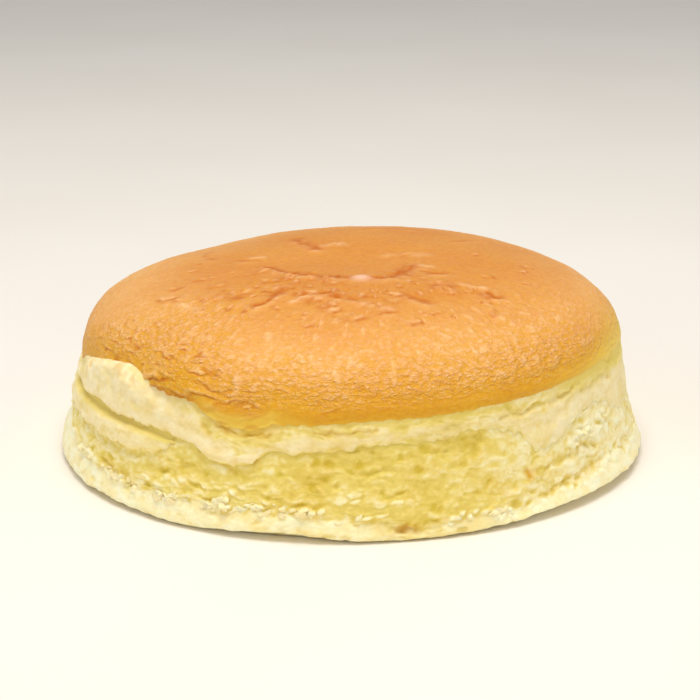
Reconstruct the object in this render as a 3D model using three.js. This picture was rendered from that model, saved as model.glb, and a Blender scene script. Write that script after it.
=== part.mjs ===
// A whole souffle cheesecake, turned out of its round tin: one soft piece that stands on a flat foot.
// Millimetres, +Z up, origin at the centre of the foot. Azimuth 0 is the front (-Y) and grows towards +X.
//
// The cake is a lathe whose profile changes with azimuth. From the foot up, the profile passes the spread
// skirt, the open crumb, a fold of pale skin with its lip, a second roll of skin that lies over the fold on
// the left, the torn edge of the browned crust, its shoulder, and the crown with a shallow dimple.
import * as THREE from "three";

// Driving dimensions
const TIN_RADIUS = 74.2; // the crust keeps about the tin's width
const FLARE_HEIGHT = 30; // below this level the warm side has spread outwards
const SKIRT_HEIGHT = 3.4; // bright strip of skin round the foot
const SKIRT_ROUND = { under: 0.7, widest: 1, top: 0.3 }; // turn-in of its edges, and level of its full width
const FOOT_INSET = 5; // how far the resting face stays inside the skirt's edge
const CRUMB_RECESS = 0.7; // the crumb lies this far behind the line of the skin
const CRUMB_FROM = 0.2; // share of the way from skirt to fold at which the crumb is fully recessed
const TUCK_DEPTH = 0.5; // extra depth of the shadow line under a fold
const FACE_UP_TO = 0.6; // share of the way up to the next lip that a face keeps its depth
const FOLD_LIP = { shadow: 0.9, crest: 0.7 }; // down to a lip's shadow line, and up to its crest
const ROLL_LIP = { shadow: 0.6, crest: 1 };
const CRUST_LIP = { shadow: 0.6, crest: 0.8, proud: 0.2 };
const EQUATOR_HEIGHT = 26; // the dome starts to turn inwards here
const CROWN_HEIGHT = 51.6; // top of the dome before its dimple sinks in
const DOME_SQUARENESS = { across: 2.3, up: 3.2 }; // exponents of the dome's outline; 2 and 2 is an ellipse
const DIMPLE_DEPTH = 1.6;
const DIMPLE_RADIUS = 17;
const CROWN_TILT = 0.02; // rise of the crown per millimetre towards +X

// Mesh density
const AZIMUTH_STEPS = 112;
const CROWN_STATIONS = 8;
const RINGS_PER_STATION = 2;

const { clamp, degToRad, euclideanModulo, lerp, radToDeg, smoothstep } = THREE.MathUtils;

/** Smooth periodic function of azimuth through [degrees, value] pairs in rising order. */
function around(pairs) {
  const count = pairs.length;
  const angle = (i) => pairs[euclideanModulo(i, count)][0] + 360 * Math.floor(i / count);
  const value = (i) => pairs[euclideanModulo(i, count)][1];
  const slope = (i) => (value(i + 1) - value(i - 1)) / (angle(i + 1) - angle(i - 1));
  return (azimuth) => {
    const degrees = angle(0) + euclideanModulo(radToDeg(azimuth) - angle(0), 360);
    let i = 0;
    while (angle(i + 1) <= degrees) i += 1;
    const span = angle(i + 1) - angle(i);
    const t = (degrees - angle(i)) / span;
    const ease = t * t * (3 - 2 * t);
    const bend = slope(i) * t * (1 - t) ** 2 - slope(i + 1) * t * t * (1 - t);
    return lerp(value(i), value(i + 1), ease) + span * bend;
  };
}

// How each feature runs round the cake: [azimuth in degrees, millimetres]
const skirtRadius = around([
  [-150, 79.6], [-110, 79.2], [-70, 79.6], [-35, 80.1], [0, 79.9], [40, 80.2], [80, 81.2], [120, 79.7],
  [165, 80.2],
]);
const crustSpread = around([
  [-150, 0.1], [-115, -0.9], [-85, -2], [-55, -0.9], [-25, 0.2], [10, 0.5], [60, 0.4], [85, 0.8],
  [130, 0.1], [170, 0.4],
]);
const skirtLift = around([
  [-160, 0.9], [-115, 1.5], [-80, 1.1], [-50, 1.2], [-30, 0.7], [-18, 2], [-6, 1.9], [4, 0.8],
  [24, 0.7], [40, 2], [65, 2.2], [95, 1.1], [135, 1.6], [170, 0.8],
]);
const foldHeight = around([
  [-150, 19.4], [-120, 17], [-95, 15.8], [-75, 15.9], [-60, 16.3], [-48, 15.4], [-41, 16.3], [-33, 19.6],
  [-25, 17.4], [-18, 18.6], [-11, 21], [0, 21.6], [10, 22.4], [22, 22.6], [34, 20], [46, 16.8], [75, 15.8],
  [100, 18], [122, 19.6], [150, 17.2], [175, 18.4],
]);
const foldThickness = around([
  [-150, 0.7], [-120, 1], [-85, 0.2], [-60, 1], [-33, 0.6], [-20, 1.4], [0, 1], [15, 0.8],
  [30, 0.3], [60, 0.1], [90, 0.2], [125, 1.2], [165, 0.8],
]);
const rollHeight = around([
  [-140, 24.6], [-110, 22.4], [-75, 21.4], [-55, 21.6], [-40, 22.2], [-25, 23.4], [0, 25.6],
  [60, 25], [110, 24], [150, 25.4], [190, 25.2],
]);
const rollThickness = around([
  [-150, 0.2], [-120, 1.2], [-85, 0.8], [-55, 1.7], [-38, 1.4], [-27, 0.3], [-15, 0], [20, 0],
  [75, 0], [105, 0.6], [135, 1], [165, 0.3],
]);
const crustHeight = around([
  [-150, 29.6], [-120, 30.4], [-95, 27.4], [-80, 27], [-70, 29.4], [-60, 33], [-50, 35], [-44, 33.8],
  [-38, 31], [-30, 30.6], [-22, 28.8], [-8, 29.2], [10, 29.8], [30, 30.8], [42, 31.6], [50, 33.2],
  [62, 33.6], [76, 32.4], [100, 29.8], [125, 29], [155, 30.6],
]);
const shoulderLift = around([
  [-165, 0.4], [-140, -1.2], [-115, -0.5], [-80, -0.8], [-40, 0.2], [0, 0.2], [40, -0.2], [80, 0.1],
  [110, 0.2], [145, 0.6], [170, 0.8],
]);

/** Share of the dome's rise that a height stands for: 0 at and below the equator, 1 at the crown. */
function domeShare(height) {
  return clamp((height - EQUATOR_HEIGHT) / (CROWN_HEIGHT - EQUATOR_HEIGHT), 0, 1);
}

/** Side of the cake before its folds: spread at the skirt, upright above it, turning in with the dome. */
function wallRadius(azimuth, height) {
  const dome = TIN_RADIUS * (1 - domeShare(height) ** DOME_SQUARENESS.up) ** (1 / DOME_SQUARENESS.across);
  const spread = skirtRadius(azimuth) - TIN_RADIUS;
  return dome + lerp(spread, crustSpread(azimuth), smoothstep(height, 0, FLARE_HEIGHT));
}

/** Profile points from the skirt's edge up to the crust's edge, as [radius, height]. */
function sideStations(azimuth) {
  const lift = skirtLift(azimuth);
  const skirt = lift + SKIRT_HEIGHT;
  const fold = foldHeight(azimuth);
  const roll = rollHeight(azimuth);
  const crust = crustHeight(azimuth);
  const foldFace = foldThickness(azimuth);
  const rollFace = rollThickness(azimuth);
  const tuck = CRUMB_RECESS + TUCK_DEPTH;
  const offsets = [
    [-SKIRT_ROUND.under, lift],
    [0, lift + SKIRT_ROUND.widest],
    [-SKIRT_ROUND.top, skirt],
    [-CRUMB_RECESS, lerp(skirt, fold, CRUMB_FROM)],
    [-CRUMB_RECESS, lerp(skirt, fold, FACE_UP_TO)],
    [-tuck, fold - FOLD_LIP.shadow],
    [foldFace, fold + FOLD_LIP.crest],
    [foldFace, lerp(fold, roll, FACE_UP_TO)],
    [-TUCK_DEPTH, roll - ROLL_LIP.shadow],
    [rollFace, roll + ROLL_LIP.crest],
    [rollFace, lerp(roll, crust, FACE_UP_TO)],
    [-TUCK_DEPTH, crust - CRUST_LIP.shadow],
    [CRUST_LIP.proud, crust + CRUST_LIP.crest],
  ];
  return offsets.map(([out, height]) => [wallRadius(azimuth, height) + out, height]);
}

/** Profile points of the crust over shoulder and crown, in even turns of the outline, as [radius, height]. */
function crownStations(azimuth) {
  const width = TIN_RADIUS + crustSpread(azimuth);
  const crest = crustHeight(azimuth) + CRUST_LIP.crest;
  const start = Math.asin(domeShare(crest) ** (DOME_SQUARENESS.up / 2));
  const stations = [];
  for (let station = 1; station <= CROWN_STATIONS; station += 1) {
    const share = station / CROWN_STATIONS;
    const turn = lerp(start, Math.PI / 2, share);
    const radius = width * Math.max(Math.cos(turn), 0) ** (2 / DOME_SQUARENESS.across);
    const rise = (CROWN_HEIGHT - EQUATOR_HEIGHT) * Math.sin(turn) ** (2 / DOME_SQUARENESS.up);
    const lift = shoulderLift(azimuth) * (radius / width) + CROWN_TILT * radius * Math.sin(azimuth);
    const dimple = DIMPLE_DEPTH * Math.exp(-((radius / DIMPLE_RADIUS) ** 2));
    stations.push([radius, EQUATOR_HEIGHT + rise + lift * Math.sin(Math.PI * share) - dimple]);
  }
  return stations;
}

/** The whole profile at one azimuth: the flat foot, then rings that keep to the same features all round. */
function profile(azimuth) {
  const stations = [...sideStations(azimuth), ...crownStations(azimuth)];
  const points = stations.map(([radius, height]) => new THREE.Vector3(radius, height, 0));
  const curve = new THREE.CatmullRomCurve3(points, false, "centripetal");
  const rings = curve.getPoints((stations.length - 1) * RINGS_PER_STATION);
  const middle = new THREE.Vector2(0, 0);
  const foot = new THREE.Vector2(skirtRadius(azimuth) - FOOT_INSET, 0);
  return [middle, foot, ...rings.map(({ x, y }) => new THREE.Vector2(x, y))];
}

/** Lathe geometry whose every meridian takes the profile of its own azimuth. */
function cakeGeometry() {
  const front = profile(0);
  const geometry = new THREE.LatheGeometry(front, AZIMUTH_STEPS);
  const position = geometry.getAttribute("position");
  for (let step = 0; step <= AZIMUTH_STEPS; step += 1) {
    const azimuth = degToRad((360 * (step % AZIMUTH_STEPS)) / AZIMUTH_STEPS);
    profile(azimuth).forEach(({ x: radius, y: height }, ring) => {
      const vertex = step * front.length + ring;
      position.setXYZ(vertex, radius * Math.sin(azimuth), height, radius * Math.cos(azimuth));
    });
  }
  geometry.rotateX(Math.PI / 2);
  geometry.computeBoundingBox();
  const centre = geometry.boundingBox.getCenter(new THREE.Vector3());
  geometry.translate(-centre.x, -centre.y, 0);
  geometry.computeVertexNormals();
  return geometry;
}

/** The cake: sponge, skin and browned crust are one piece of food. */
function makeCheesecake() {
  const sponge = new THREE.MeshStandardMaterial({ color: 0xe8cf86, roughness: 0.8, metalness: 0 });
  const cake = new THREE.Mesh(cakeGeometry(), sponge);
  cake.name = "cheesecake";
  return cake;
}

const model = new THREE.Group();
model.add(makeCheesecake());

export default model;
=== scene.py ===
"""A whole souffle cheesecake: soft sponge, pale folds of baked skin and a domed, browned crust.

The cake is built from closed pieces that lie over one another as its layers do: the sponge with its open
crumb and flared foot, loose crumbs that cling to it, the lower and the upper fold of skin, and the crust.
Classes keep their sizes in millimetres; a mesh is made in metres. Azimuth 0 is the front (-Y) and grows
towards +X.
"""
import logging
import math
from dataclasses import dataclass, field, replace
from enum import Enum
from typing import Any

import bmesh
import bpy
import numpy as np
from mathutils import Euler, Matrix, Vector


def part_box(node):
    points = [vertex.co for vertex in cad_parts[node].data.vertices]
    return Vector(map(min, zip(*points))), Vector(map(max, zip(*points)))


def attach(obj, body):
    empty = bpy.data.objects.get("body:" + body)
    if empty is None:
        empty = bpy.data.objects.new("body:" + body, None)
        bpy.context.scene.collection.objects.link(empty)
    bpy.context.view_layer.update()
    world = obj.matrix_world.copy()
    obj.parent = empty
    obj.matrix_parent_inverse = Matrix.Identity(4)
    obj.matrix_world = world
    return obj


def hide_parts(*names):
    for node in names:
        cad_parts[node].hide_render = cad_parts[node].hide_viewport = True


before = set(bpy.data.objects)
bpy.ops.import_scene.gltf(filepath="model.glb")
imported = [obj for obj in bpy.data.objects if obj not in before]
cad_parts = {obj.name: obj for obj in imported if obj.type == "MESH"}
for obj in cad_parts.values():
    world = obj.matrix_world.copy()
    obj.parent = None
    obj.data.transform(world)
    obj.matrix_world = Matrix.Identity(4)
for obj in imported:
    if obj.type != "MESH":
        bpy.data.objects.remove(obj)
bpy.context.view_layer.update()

logging.basicConfig(level=logging.INFO, format="%(message)s")
LOG = logging.getLogger("cheesecake")

MM = 0.001
TURN = 2.0 * math.pi
NODE = "cheesecake"
Array = np.ndarray
Socket = bpy.types.NodeSocket
Line = tuple[tuple[float, float], ...]

# An integer hash: a factor for each axis and for the seed, then rounds of (shift, factor), a last shift,
# and the bits of each random number that is cut from the result
HASH_AXES = (73856093, 19349663, 83492791)
HASH_SEED = 2654435761
HASH_ROUNDS = ((30, 0xBF58476D1CE4E5B9), (27, 0x94D049BB133111EB))
HASH_LAST_SHIFT = 31
HASH_BITS = 21


# --------------------------------
# Numbers: easing, courses round the cake and noise
# --------------------------------

def ease(low: float, high: float, value: Array) -> Array:
    """Rise smoothly from 0 at low to 1 at high.

    Args:
        low: Value at which the rise starts.
        high: Value at which it ends; below low for a fall.
        value: Where to read it.

    Returns:
        Share from 0 to 1 for each value.
    """
    share = np.clip((value - low) / (high - low), 0.0, 1.0)
    return share * share * (3.0 - 2.0 * share)


def blend(first: Array, second: Array, share: Array) -> Array:
    """Mix two values; share 0 gives the first and 1 the second."""
    return first + (second - first) * share


def degrees_of(azimuth: Array) -> Array:
    """Azimuths in degrees from -180 to 180."""
    return np.mod(np.degrees(azimuth) + 180.0, 360.0) - 180.0


@dataclass(frozen=True)
class Course:
    """A value that runs smoothly round the cake through stations of (azimuth in degrees, value)."""

    stations: Line

    def at(self, azimuth: Array) -> Array:
        """Read the course.

        Args:
            azimuth: Angles in radians.

        Returns:
            The value at each angle.
        """
        angle, value = (np.array(column, float) for column in zip(*self.stations))
        angle = np.concatenate([angle[-2:] - 360.0, angle, angle[:3] + 360.0])
        value = np.concatenate([value[-2:], value, value[:3]])
        slope = (value[2:] - value[:-2]) / (angle[2:] - angle[:-2])
        first = angle[2]
        degrees = first + np.mod(np.degrees(azimuth) - first, 360.0)
        index = np.searchsorted(angle, degrees, side="right") - 1
        span = angle[index + 1] - angle[index]
        t = (degrees - angle[index]) / span
        bend = slope[index - 1] * t * (1.0 - t) ** 2 - slope[index] * t * t * (1.0 - t)
        return blend(value[index], value[index + 1], t * t * (3.0 - 2.0 * t)) + span * bend


def course(*stations: tuple[float, float]) -> Course:
    """The course through the given stations."""
    return Course(stations)


def steady(value: float) -> Course:
    """A course that keeps one value all round."""
    return course((0.0, value), (120.0, value), (240.0, value))


@dataclass(frozen=True)
class Sector:
    """A stretch of azimuth in degrees that fades in from begins to full and out from fades to ends."""

    begins: float
    full: float
    fades: float
    ends: float

    def share(self, azimuth: Array) -> Array:
        """Strength from 0 to 1 at angles in radians."""
        around = degrees_of(azimuth)
        return ease(self.begins, self.full, around) * ease(self.ends, self.fades, around)


@dataclass(frozen=True)
class Grain:
    """Repeatable noise in space.

    Args:
        across, up: Level and upright size of a lattice cell in mm.
        seed: Number that picks the pattern.
    """

    across: float
    up: float
    seed: int

    def _cells(self, points: Array) -> tuple[Array, Array]:
        """Lattice cell and place in it for each point."""
        scaled = points / np.array([self.across, self.across, self.up])
        cell = np.floor(scaled)
        return cell.astype(np.int64), scaled - cell

    def _random(self, cell: Array) -> Array:
        """Three random numbers from 0 to 1 for each lattice cell."""
        with np.errstate(over="ignore"):
            key = cell.astype(np.uint64)
            mixed = np.uint64(self.seed * HASH_SEED)
            for axis, factor in enumerate(HASH_AXES):
                mixed = mixed ^ key[..., axis] * np.uint64(factor)
            for shift, factor in HASH_ROUNDS:
                mixed = (mixed ^ (mixed >> np.uint64(shift))) * np.uint64(factor)
            mixed = mixed ^ (mixed >> np.uint64(HASH_LAST_SHIFT))
        mask = np.uint64((1 << HASH_BITS) - 1)
        parts = [(mixed >> np.uint64(HASH_BITS * part)) & mask for part in range(3)]
        return np.stack(parts, axis=-1).astype(float) / float(mask)

    def smooth(self, points: Array) -> Array:
        """Soft rises and hollows.

        Args:
            points: Places in mm, shape (..., 3).

        Returns:
            Gradient noise from about -1 to 1.
        """
        cell, place = self._cells(points)
        weight = place ** 3 * (place * (place * 6.0 - 15.0) + 10.0)
        total = np.zeros(points.shape[:-1])
        for corner in np.ndindex(2, 2, 2):
            step = np.array(corner)
            gradient = self._random(cell + step) * 2.0 - 1.0
            share = np.prod(np.where(step == 1, weight, 1.0 - weight), axis=-1)
            total += share * np.sum(gradient * (place - step), axis=-1)
        return total * 1.5

    def cells(self, points: Array) -> tuple[Array, Array, Array]:
        """Cells round scattered centres.

        Args:
            points: Places in mm, shape (..., 3).

        Returns:
            Distance to the nearest centre, how much farther the second one is, and a random share of the
            nearest centre's own.
        """
        cell, place = self._cells(points)
        nearest = np.full(points.shape[:-1], 9.0)
        second = nearest.copy()
        own = np.zeros(points.shape[:-1])
        for offset in np.ndindex(3, 3, 3):
            step = np.array(offset) - 1
            centre = self._random(cell + step)
            distance = np.sqrt(np.sum((centre + step - place) ** 2, axis=-1))
            closer = distance < nearest
            second = np.where(closer, nearest, np.minimum(second, distance))
            own = np.where(closer, np.mod(centre[..., 0] * 7.0 + centre[..., 1] * 3.0, 1.0), own)
            nearest = np.where(closer, distance, nearest)
        return nearest, second - nearest, own


def layered(points: Array, across: float, up: float, seed: int, layers: int) -> Array:
    """Noise of several sizes, each half as large and half as strong as the one before.

    Args:
        points: Places in mm.
        across, up, seed: Level and upright size in mm and seed of the coarsest layer.
        layers: Number of layers.

    Returns:
        Noise from about -1 to 1.
    """
    total = np.zeros(points.shape[:-1])
    for layer in range(layers):
        share = 0.5 ** layer
        total += share * Grain(across * share, up * share, seed + layer).smooth(points)
    return total


def warp(points: Array, size: float, reach: float, seed: int) -> Array:
    """Points shifted by noise.

    Args:
        points: Places in mm.
        size: Size of the shifts' pattern in mm.
        reach: Largest shift in mm.
        seed: Seed of the pattern.

    Returns:
        The shifted points.
    """
    shift = np.stack([Grain(size, size * 0.75, seed + axis).smooth(points) for axis in range(3)], axis=-1)
    return points + shift * reach


@dataclass(frozen=True)
class Mark:
    """A dent, hump or stain along a line, as a wrinkle or a spot leaves it.

    Args:
        line: Points of the line, as the surface that it lies on is laid flat; one point for a spot.
        rise: How far it stands out in mm; below zero it is pressed in.
        width: Distance in mm at which it has faded to a third.
        stain: Strength of its colour.
    """

    line: Line
    rise: float
    width: float
    stain: float = 0.0

    def share(self, flat: Array) -> Array:
        """Strength from 0 to 1 at points of shape (..., 2), from their distance to the line."""
        ends = self.line[1:] or self.line
        nearest = np.full(flat.shape[:-1], 1e9)
        for start, end in zip(self.line, ends):
            first, run = np.array(start), np.array(end) - np.array(start)
            along = np.sum((flat - first) * run, axis=-1) / max(float(np.sum(run * run)), 1e-9)
            gap = np.linalg.norm(flat - first - np.clip(along, 0.0, 1.0)[..., None] * run, axis=-1)
            nearest = np.minimum(nearest, gap)
        return np.exp(-((nearest / self.width) ** 2))


def press(marks: tuple[Mark, ...], flat: Array) -> tuple[Array, Array]:
    """Lay marks on a surface, frayed and uneven, as a soft skin takes them.

    Args:
        marks: The marks.
        flat: Surface points laid flat, in mm, shape (..., 2).

    Returns:
        Height in mm and stain share.
    """
    height = np.zeros(flat.shape[:-1])
    stain = np.zeros(flat.shape[:-1])
    level = np.concatenate([flat, np.zeros_like(flat[..., :1])], axis=-1)
    frayed = warp(warp(level, 5.0, 1.2, 61), 2.0, 0.8, 64)[..., :2]
    uneven = np.clip(0.85 + 0.9 * Grain(2.8, 2.8, 67).smooth(level), 0.3, 1.2)
    for mark in marks:
        share = mark.share(frayed) * uneven
        height += mark.rise * share
        stain = np.maximum(stain, mark.stain * share)
    return height, stain


# --------------------------------
# Meshes made of rows round the cake
# --------------------------------

class Closing(Enum):
    """How a stack of rows round the cake becomes a closed mesh."""

    RING = "the last row joins the first"
    CAP = "the first and the last row close to points on the axis"


@dataclass
class Rows:
    """Rows of points round the cake, from the bottom or inside outwards and up.

    Args:
        points: Places in mm, shape (rows, columns, 3).
        closing: How the rows become a closed mesh.
        tones: Numbers for the finish, each of shape (rows, columns).
    """

    points: Array
    closing: Closing
    tones: dict[str, Array] = field(default_factory=dict)

    def normals(self) -> Array:
        """Outward unit normals, shape (rows, columns, 3)."""
        along = np.roll(self.points, -1, axis=1) - np.roll(self.points, 1, axis=1)
        if self.closing is Closing.RING:
            up = np.roll(self.points, -1, axis=0) - np.roll(self.points, 1, axis=0)
        else:
            up = np.gradient(self.points, axis=0)
        normal = np.cross(along, up)
        return normal / np.maximum(np.linalg.norm(normal, axis=-1, keepdims=True), 1e-9)

    def push(self, height: Array) -> None:
        """Move the points outwards by a height in mm for each."""
        self.points = self.points + self.normals() * height[..., None]

    def mesh(self, name: str) -> bpy.types.Mesh:
        """Make the closed mesh in metres.

        Args:
            name: Name of the mesh.

        Returns:
            The mesh, smooth shaded, with the tones as point attributes.
        """
        rows, columns = self.points.shape[:2]
        index = np.arange(rows * columns).reshape(rows, columns)
        lower = index if self.closing is Closing.RING else index[:-1]
        upper = np.roll(index, -1, axis=0) if self.closing is Closing.RING else index[1:]
        quads = np.stack([lower, np.roll(lower, -1, 1), np.roll(upper, -1, 1), upper], axis=-1)
        faces = quads.reshape(-1, 4).tolist()
        vertices = self.points.reshape(-1, 3)
        if self.closing is Closing.CAP:
            poles = [self.points[0].mean(axis=0), self.points[-1].mean(axis=0)]
            vertices = np.concatenate([vertices, poles])
            bottom, top = rows * columns, rows * columns + 1
            ahead = np.roll(index, -1, axis=1)
            faces += np.stack([index[0], np.full(columns, bottom), ahead[0]], axis=-1).tolist()
            faces += np.stack([index[-1], ahead[-1], np.full(columns, top)], axis=-1).tolist()
        mesh = bpy.data.meshes.new(name)
        mesh.from_pydata((vertices * MM).tolist(), [], faces)
        for tone, values in self.tones.items():
            flat = np.clip(values, 0.0, 1.0).reshape(-1)
            if self.closing is Closing.CAP:
                flat = np.concatenate([flat, [values[0].mean(), values[-1].mean()]])
            mesh.attributes.new(tone, "FLOAT", "POINT").data.foreach_set("value", flat)
        mesh.shade_smooth()
        mesh.validate()
        return mesh


def spline(stations: Array, counts: tuple[int, ...]) -> Array:
    """Rows of a smooth profile through stations, for every column at once.

    Args:
        stations: (radius, height) in mm, shape (stations, columns, 2).
        counts: Rows in each stretch between two stations.

    Returns:
        (radius, height), shape (rows, columns, 2).
    """
    gap = np.maximum(np.linalg.norm(np.diff(stations, axis=0), axis=-1, keepdims=True), 1e-6)
    pace = np.diff(stations, axis=0) / gap
    inner = (pace[:-1] * gap[1:] + pace[1:] * gap[:-1]) / (gap[1:] + gap[:-1])
    tangent = np.concatenate([pace[:1], inner, pace[-1:]])
    rows = []
    for stretch, count in enumerate(counts):
        t = (np.arange(count) / count)[:, None, None]
        start, end = stations[stretch], stations[stretch + 1]
        leave, arrive = tangent[stretch] * gap[stretch], tangent[stretch + 1] * gap[stretch]
        bend = leave * t * (1.0 - t) ** 2 - arrive * t * t * (1.0 - t)
        rows.append(blend(start, end, t * t * (3.0 - 2.0 * t)) + bend)
    return np.concatenate([*rows, stations[-1:]])


# --------------------------------
# Finishes
# --------------------------------

def linear(colour: str) -> tuple[float, float, float, float]:
    """Linear red, green, blue and full alpha of an sRGB hex colour such as "#d9a441"."""
    shares = [int(colour[start:start + 2], 16) / 255.0 for start in (1, 3, 5)]
    red, green, blue = (s / 12.92 if s <= 0.04045 else ((s + 0.055) / 1.055) ** 2.4 for s in shares)
    return red, green, blue, 1.0


def add_node(
    tree: bpy.types.NodeTree,
    kind: str,
    settings: dict[str, Any] | None = None,
    **inputs: Any,
) -> bpy.types.Node:
    """Add one node with its settings and links.

    Args:
        tree: Node tree that gets it.
        kind: Blender's name of the node type.
        settings: Properties to set on the node; "stops" gives a colour ramp's (position, sRGB hex) pairs.
        **inputs: Socket values or output sockets to link, by socket name with _ for a space. A name such
            as at_1 means the socket with that number.

    Returns:
        The node.
    """
    node = tree.nodes.new(kind)
    for name, value in (settings or {}).items():
        if name == "stops":
            for _ in value[2:]:
                node.color_ramp.elements.new(0.5)
            for element, (position, colour) in zip(node.color_ramp.elements, value):
                element.position = position
                element.color = linear(colour)
        else:
            setattr(node, name, value)
    for name, value in inputs.items():
        key = int(name[3:]) if name.startswith("at_") else name.replace("_", " ")
        socket = node.inputs[key]
        if isinstance(value, bpy.types.NodeSocket):
            tree.links.new(value, socket)
        else:
            socket.default_value = value
    return node


@dataclass(frozen=True)
class Finish:
    """What every finish shares.

    Args:
        name: The material's name: what it is and how it was made.
        roughness: Typical roughness of its surface.
        scatter_weight: Share of the light that sinks in.
        scatter_mm: How far red, green and blue light travel inside.
        ior: Index of refraction of the moist surface.
        specular: Strength of its mirror reflection; 0.5 is a closed surface, less where it is porous.
        detail: Octaves of its cloudy patterns.
    """

    name: str
    roughness: float
    scatter_weight: float = 0.0
    scatter_mm: tuple[float, float, float] = (1.0, 1.0, 1.0)
    ior: float = 1.42
    specular: float = 0.5
    detail: float = 2.5

    def place(self, tree: bpy.types.NodeTree, flat: float = 1.0) -> Socket:
        """Object coordinates in millimetres; patterns come out lower than wide where flat is below 1."""
        place = add_node(tree, "ShaderNodeTexCoord").outputs["Object"]
        scale = (1.0 / MM, 1.0 / MM, 1.0 / MM / flat)
        return add_node(tree, "ShaderNodeMapping", Vector=place, Scale=scale).outputs["Vector"]

    def coats(self, tree: bpy.types.NodeTree, base: Socket, *coats: tuple[Any, Any, str]) -> Socket:
        """Lay colours over one another.

        Args:
            tree: The material's node tree.
            base: Output of the lowest colour.
            *coats: (share, colour, blend type) from the lowest up; a share or a colour is a socket or a
                value, a colour's value being an sRGB hex.

        Returns:
            Output of the finished colour.
        """
        for share, colour, mode in coats:
            over = linear(colour) if isinstance(colour, str) else colour
            settings = {"data_type": "RGBA", "blend_type": mode}
            base = add_node(tree, "ShaderNodeMix", settings, at_0=share, at_6=base, at_7=over).outputs[2]
        return base

    def bumps(self, tree: bpy.types.NodeTree, *layers: tuple[Socket, float, Any]) -> Socket:
        """Lay bumps over one another.

        Args:
            tree: The material's node tree.
            *layers: (height output, depth in mm, strength) from the lowest up.

        Returns:
            Output of the normal.
        """
        below: dict[str, Socket] = {}
        for height, depth_mm, strength in layers:
            inputs = {"Height": height, "Distance": depth_mm * MM, "Strength": strength, **below}
            below = {"Normal": add_node(tree, "ShaderNodeBump", **inputs).outputs["Normal"]}
        return below["Normal"]

    def paint(self, tree: bpy.types.NodeTree) -> tuple[Socket, Socket | None]:
        """Build the pattern.

        Args:
            tree: The material's node tree.

        Returns:
            Outputs of the colour and the normal; None for a flat normal.
        """
        raise NotImplementedError

    def make(self) -> bpy.types.Material:
        """Make the material."""
        material = bpy.data.materials.new(self.name)
        material.use_nodes = True
        tree = material.node_tree
        tree.nodes.clear()
        shader = add_node(
            tree,
            "ShaderNodeBsdfPrincipled",
            Roughness=self.roughness,
            IOR=self.ior,
            Specular_IOR_Level=self.specular,
            Subsurface_Weight=self.scatter_weight,
            Subsurface_Radius=self.scatter_mm,
            Subsurface_Scale=MM,
        )
        add_node(tree, "ShaderNodeOutputMaterial", Surface=shader.outputs["BSDF"])
        colour, normal = self.paint(tree)
        tree.links.new(colour, shader.inputs["Base Color"])
        if normal is not None:
            tree.links.new(normal, shader.inputs["Normal"])
        return material


@dataclass(frozen=True)
class FoamFinish(Finish):
    """Baked egg foam: torn open crumb, painted a deeper egg yellow in its hollows as shade, and ivory skin
    where it set on the tin.

    Args:
        hollow, middle, tip: Open crumb, from its hollows to its tips: painted shade in the hollows, painted
            light on the tips.
        cream, pale: The skin's darker and paler patches.
        shade, brown: Painted shade in creases and under lips, and spots that the oven browned.
        butter, speckle: Faint tints over the whole.
        drift_mm, patch_mm: Slow changes of foam and of skin, where bubbles set larger or smaller.
        swell_mm, grain_mm, pore_mm: Set bubbles and moist pores, finer than the mesh.
        flat: Height of the patterns as a share of their width.
    """

    name: str = "souffle_foam_baked_pale"
    roughness: float = 0.7
    scatter_weight: float = 0.4
    scatter_mm: tuple[float, float, float] = (0.8, 0.7, 0.4)
    specular: float = 0.25
    hollow: str = "#dac24a"
    middle: str = "#ecd97c"
    tip: str = "#fff8d4"
    cream: str = "#f0dc9e"
    pale: str = "#f9ebc0"
    shade: str = "#e4cf68"
    brown: str = "#dcaa36"
    butter: str = "#f7eac4"
    speckle: str = "#ecdcae"
    drift_mm: float = 9.0
    patch_mm: float = 5.0
    swell_mm: float = 2.4
    grain_mm: float = 1.1
    pore_mm: float = 0.5
    flat: float = 0.7

    def paint(self, tree: bpy.types.NodeTree) -> tuple[Socket, Socket | None]:
        """Build the pattern."""
        place = self.place(tree, self.flat)
        relief, skin, shade, warm = (
            add_node(tree, "ShaderNodeAttribute", {"attribute_name": name}).outputs["Fac"]
            for name in ("relief", "skin", "shade", "warm")
        )
        drift, patches, swell, grain, pores = (
            add_node(
                tree, "ShaderNodeTexNoise", Vector=place, Scale=1.0 / size, Detail=self.detail,
            ).outputs["Fac"]
            for size in (self.drift_mm, self.patch_mm, self.swell_mm, self.grain_mm, self.pore_mm)
        )
        shares_and_stops = (
            (relief, [(0.05, self.hollow), (0.45, self.middle), (0.9, self.tip)]),
            (drift, [(0.4, "#ffffff"), (0.68, self.butter)]),
            (patches, [(0.36, self.cream), (0.6, self.pale)]),
            (grain, [(0.36, self.speckle), (0.56, "#ffffff")]),
        )
        crumb, butter, ivory, speckle = (
            add_node(tree, "ShaderNodeValToRGB", {"stops": stops}, Fac=share).outputs["Color"]
            for share, stops in shares_and_stops
        )
        # The relief tone gives painted shade in the hollows and painted light on the tips; the shade coat is
        # painted shade in creases and under lips
        colour = self.coats(
            tree, crumb,
            (0.4, butter, "MULTIPLY"), (skin, ivory, "MIX"), (0.16, speckle, "MULTIPLY"),
            (shade, self.shade, "MIX"), (warm, self.brown, "MIX"),
        )
        # Grain and pores have half their strength in the crumb, and less in the skin
        settings = {"operation": "MULTIPLY_ADD"}
        strength = add_node(tree, "ShaderNodeMath", settings, at_0=skin, at_1=-0.32, at_2=0.5).outputs[0]
        return colour, self.bumps(tree, (swell, 0.4, 0.3), (grain, 0.45, strength), (pores, 0.2, strength))


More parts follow.
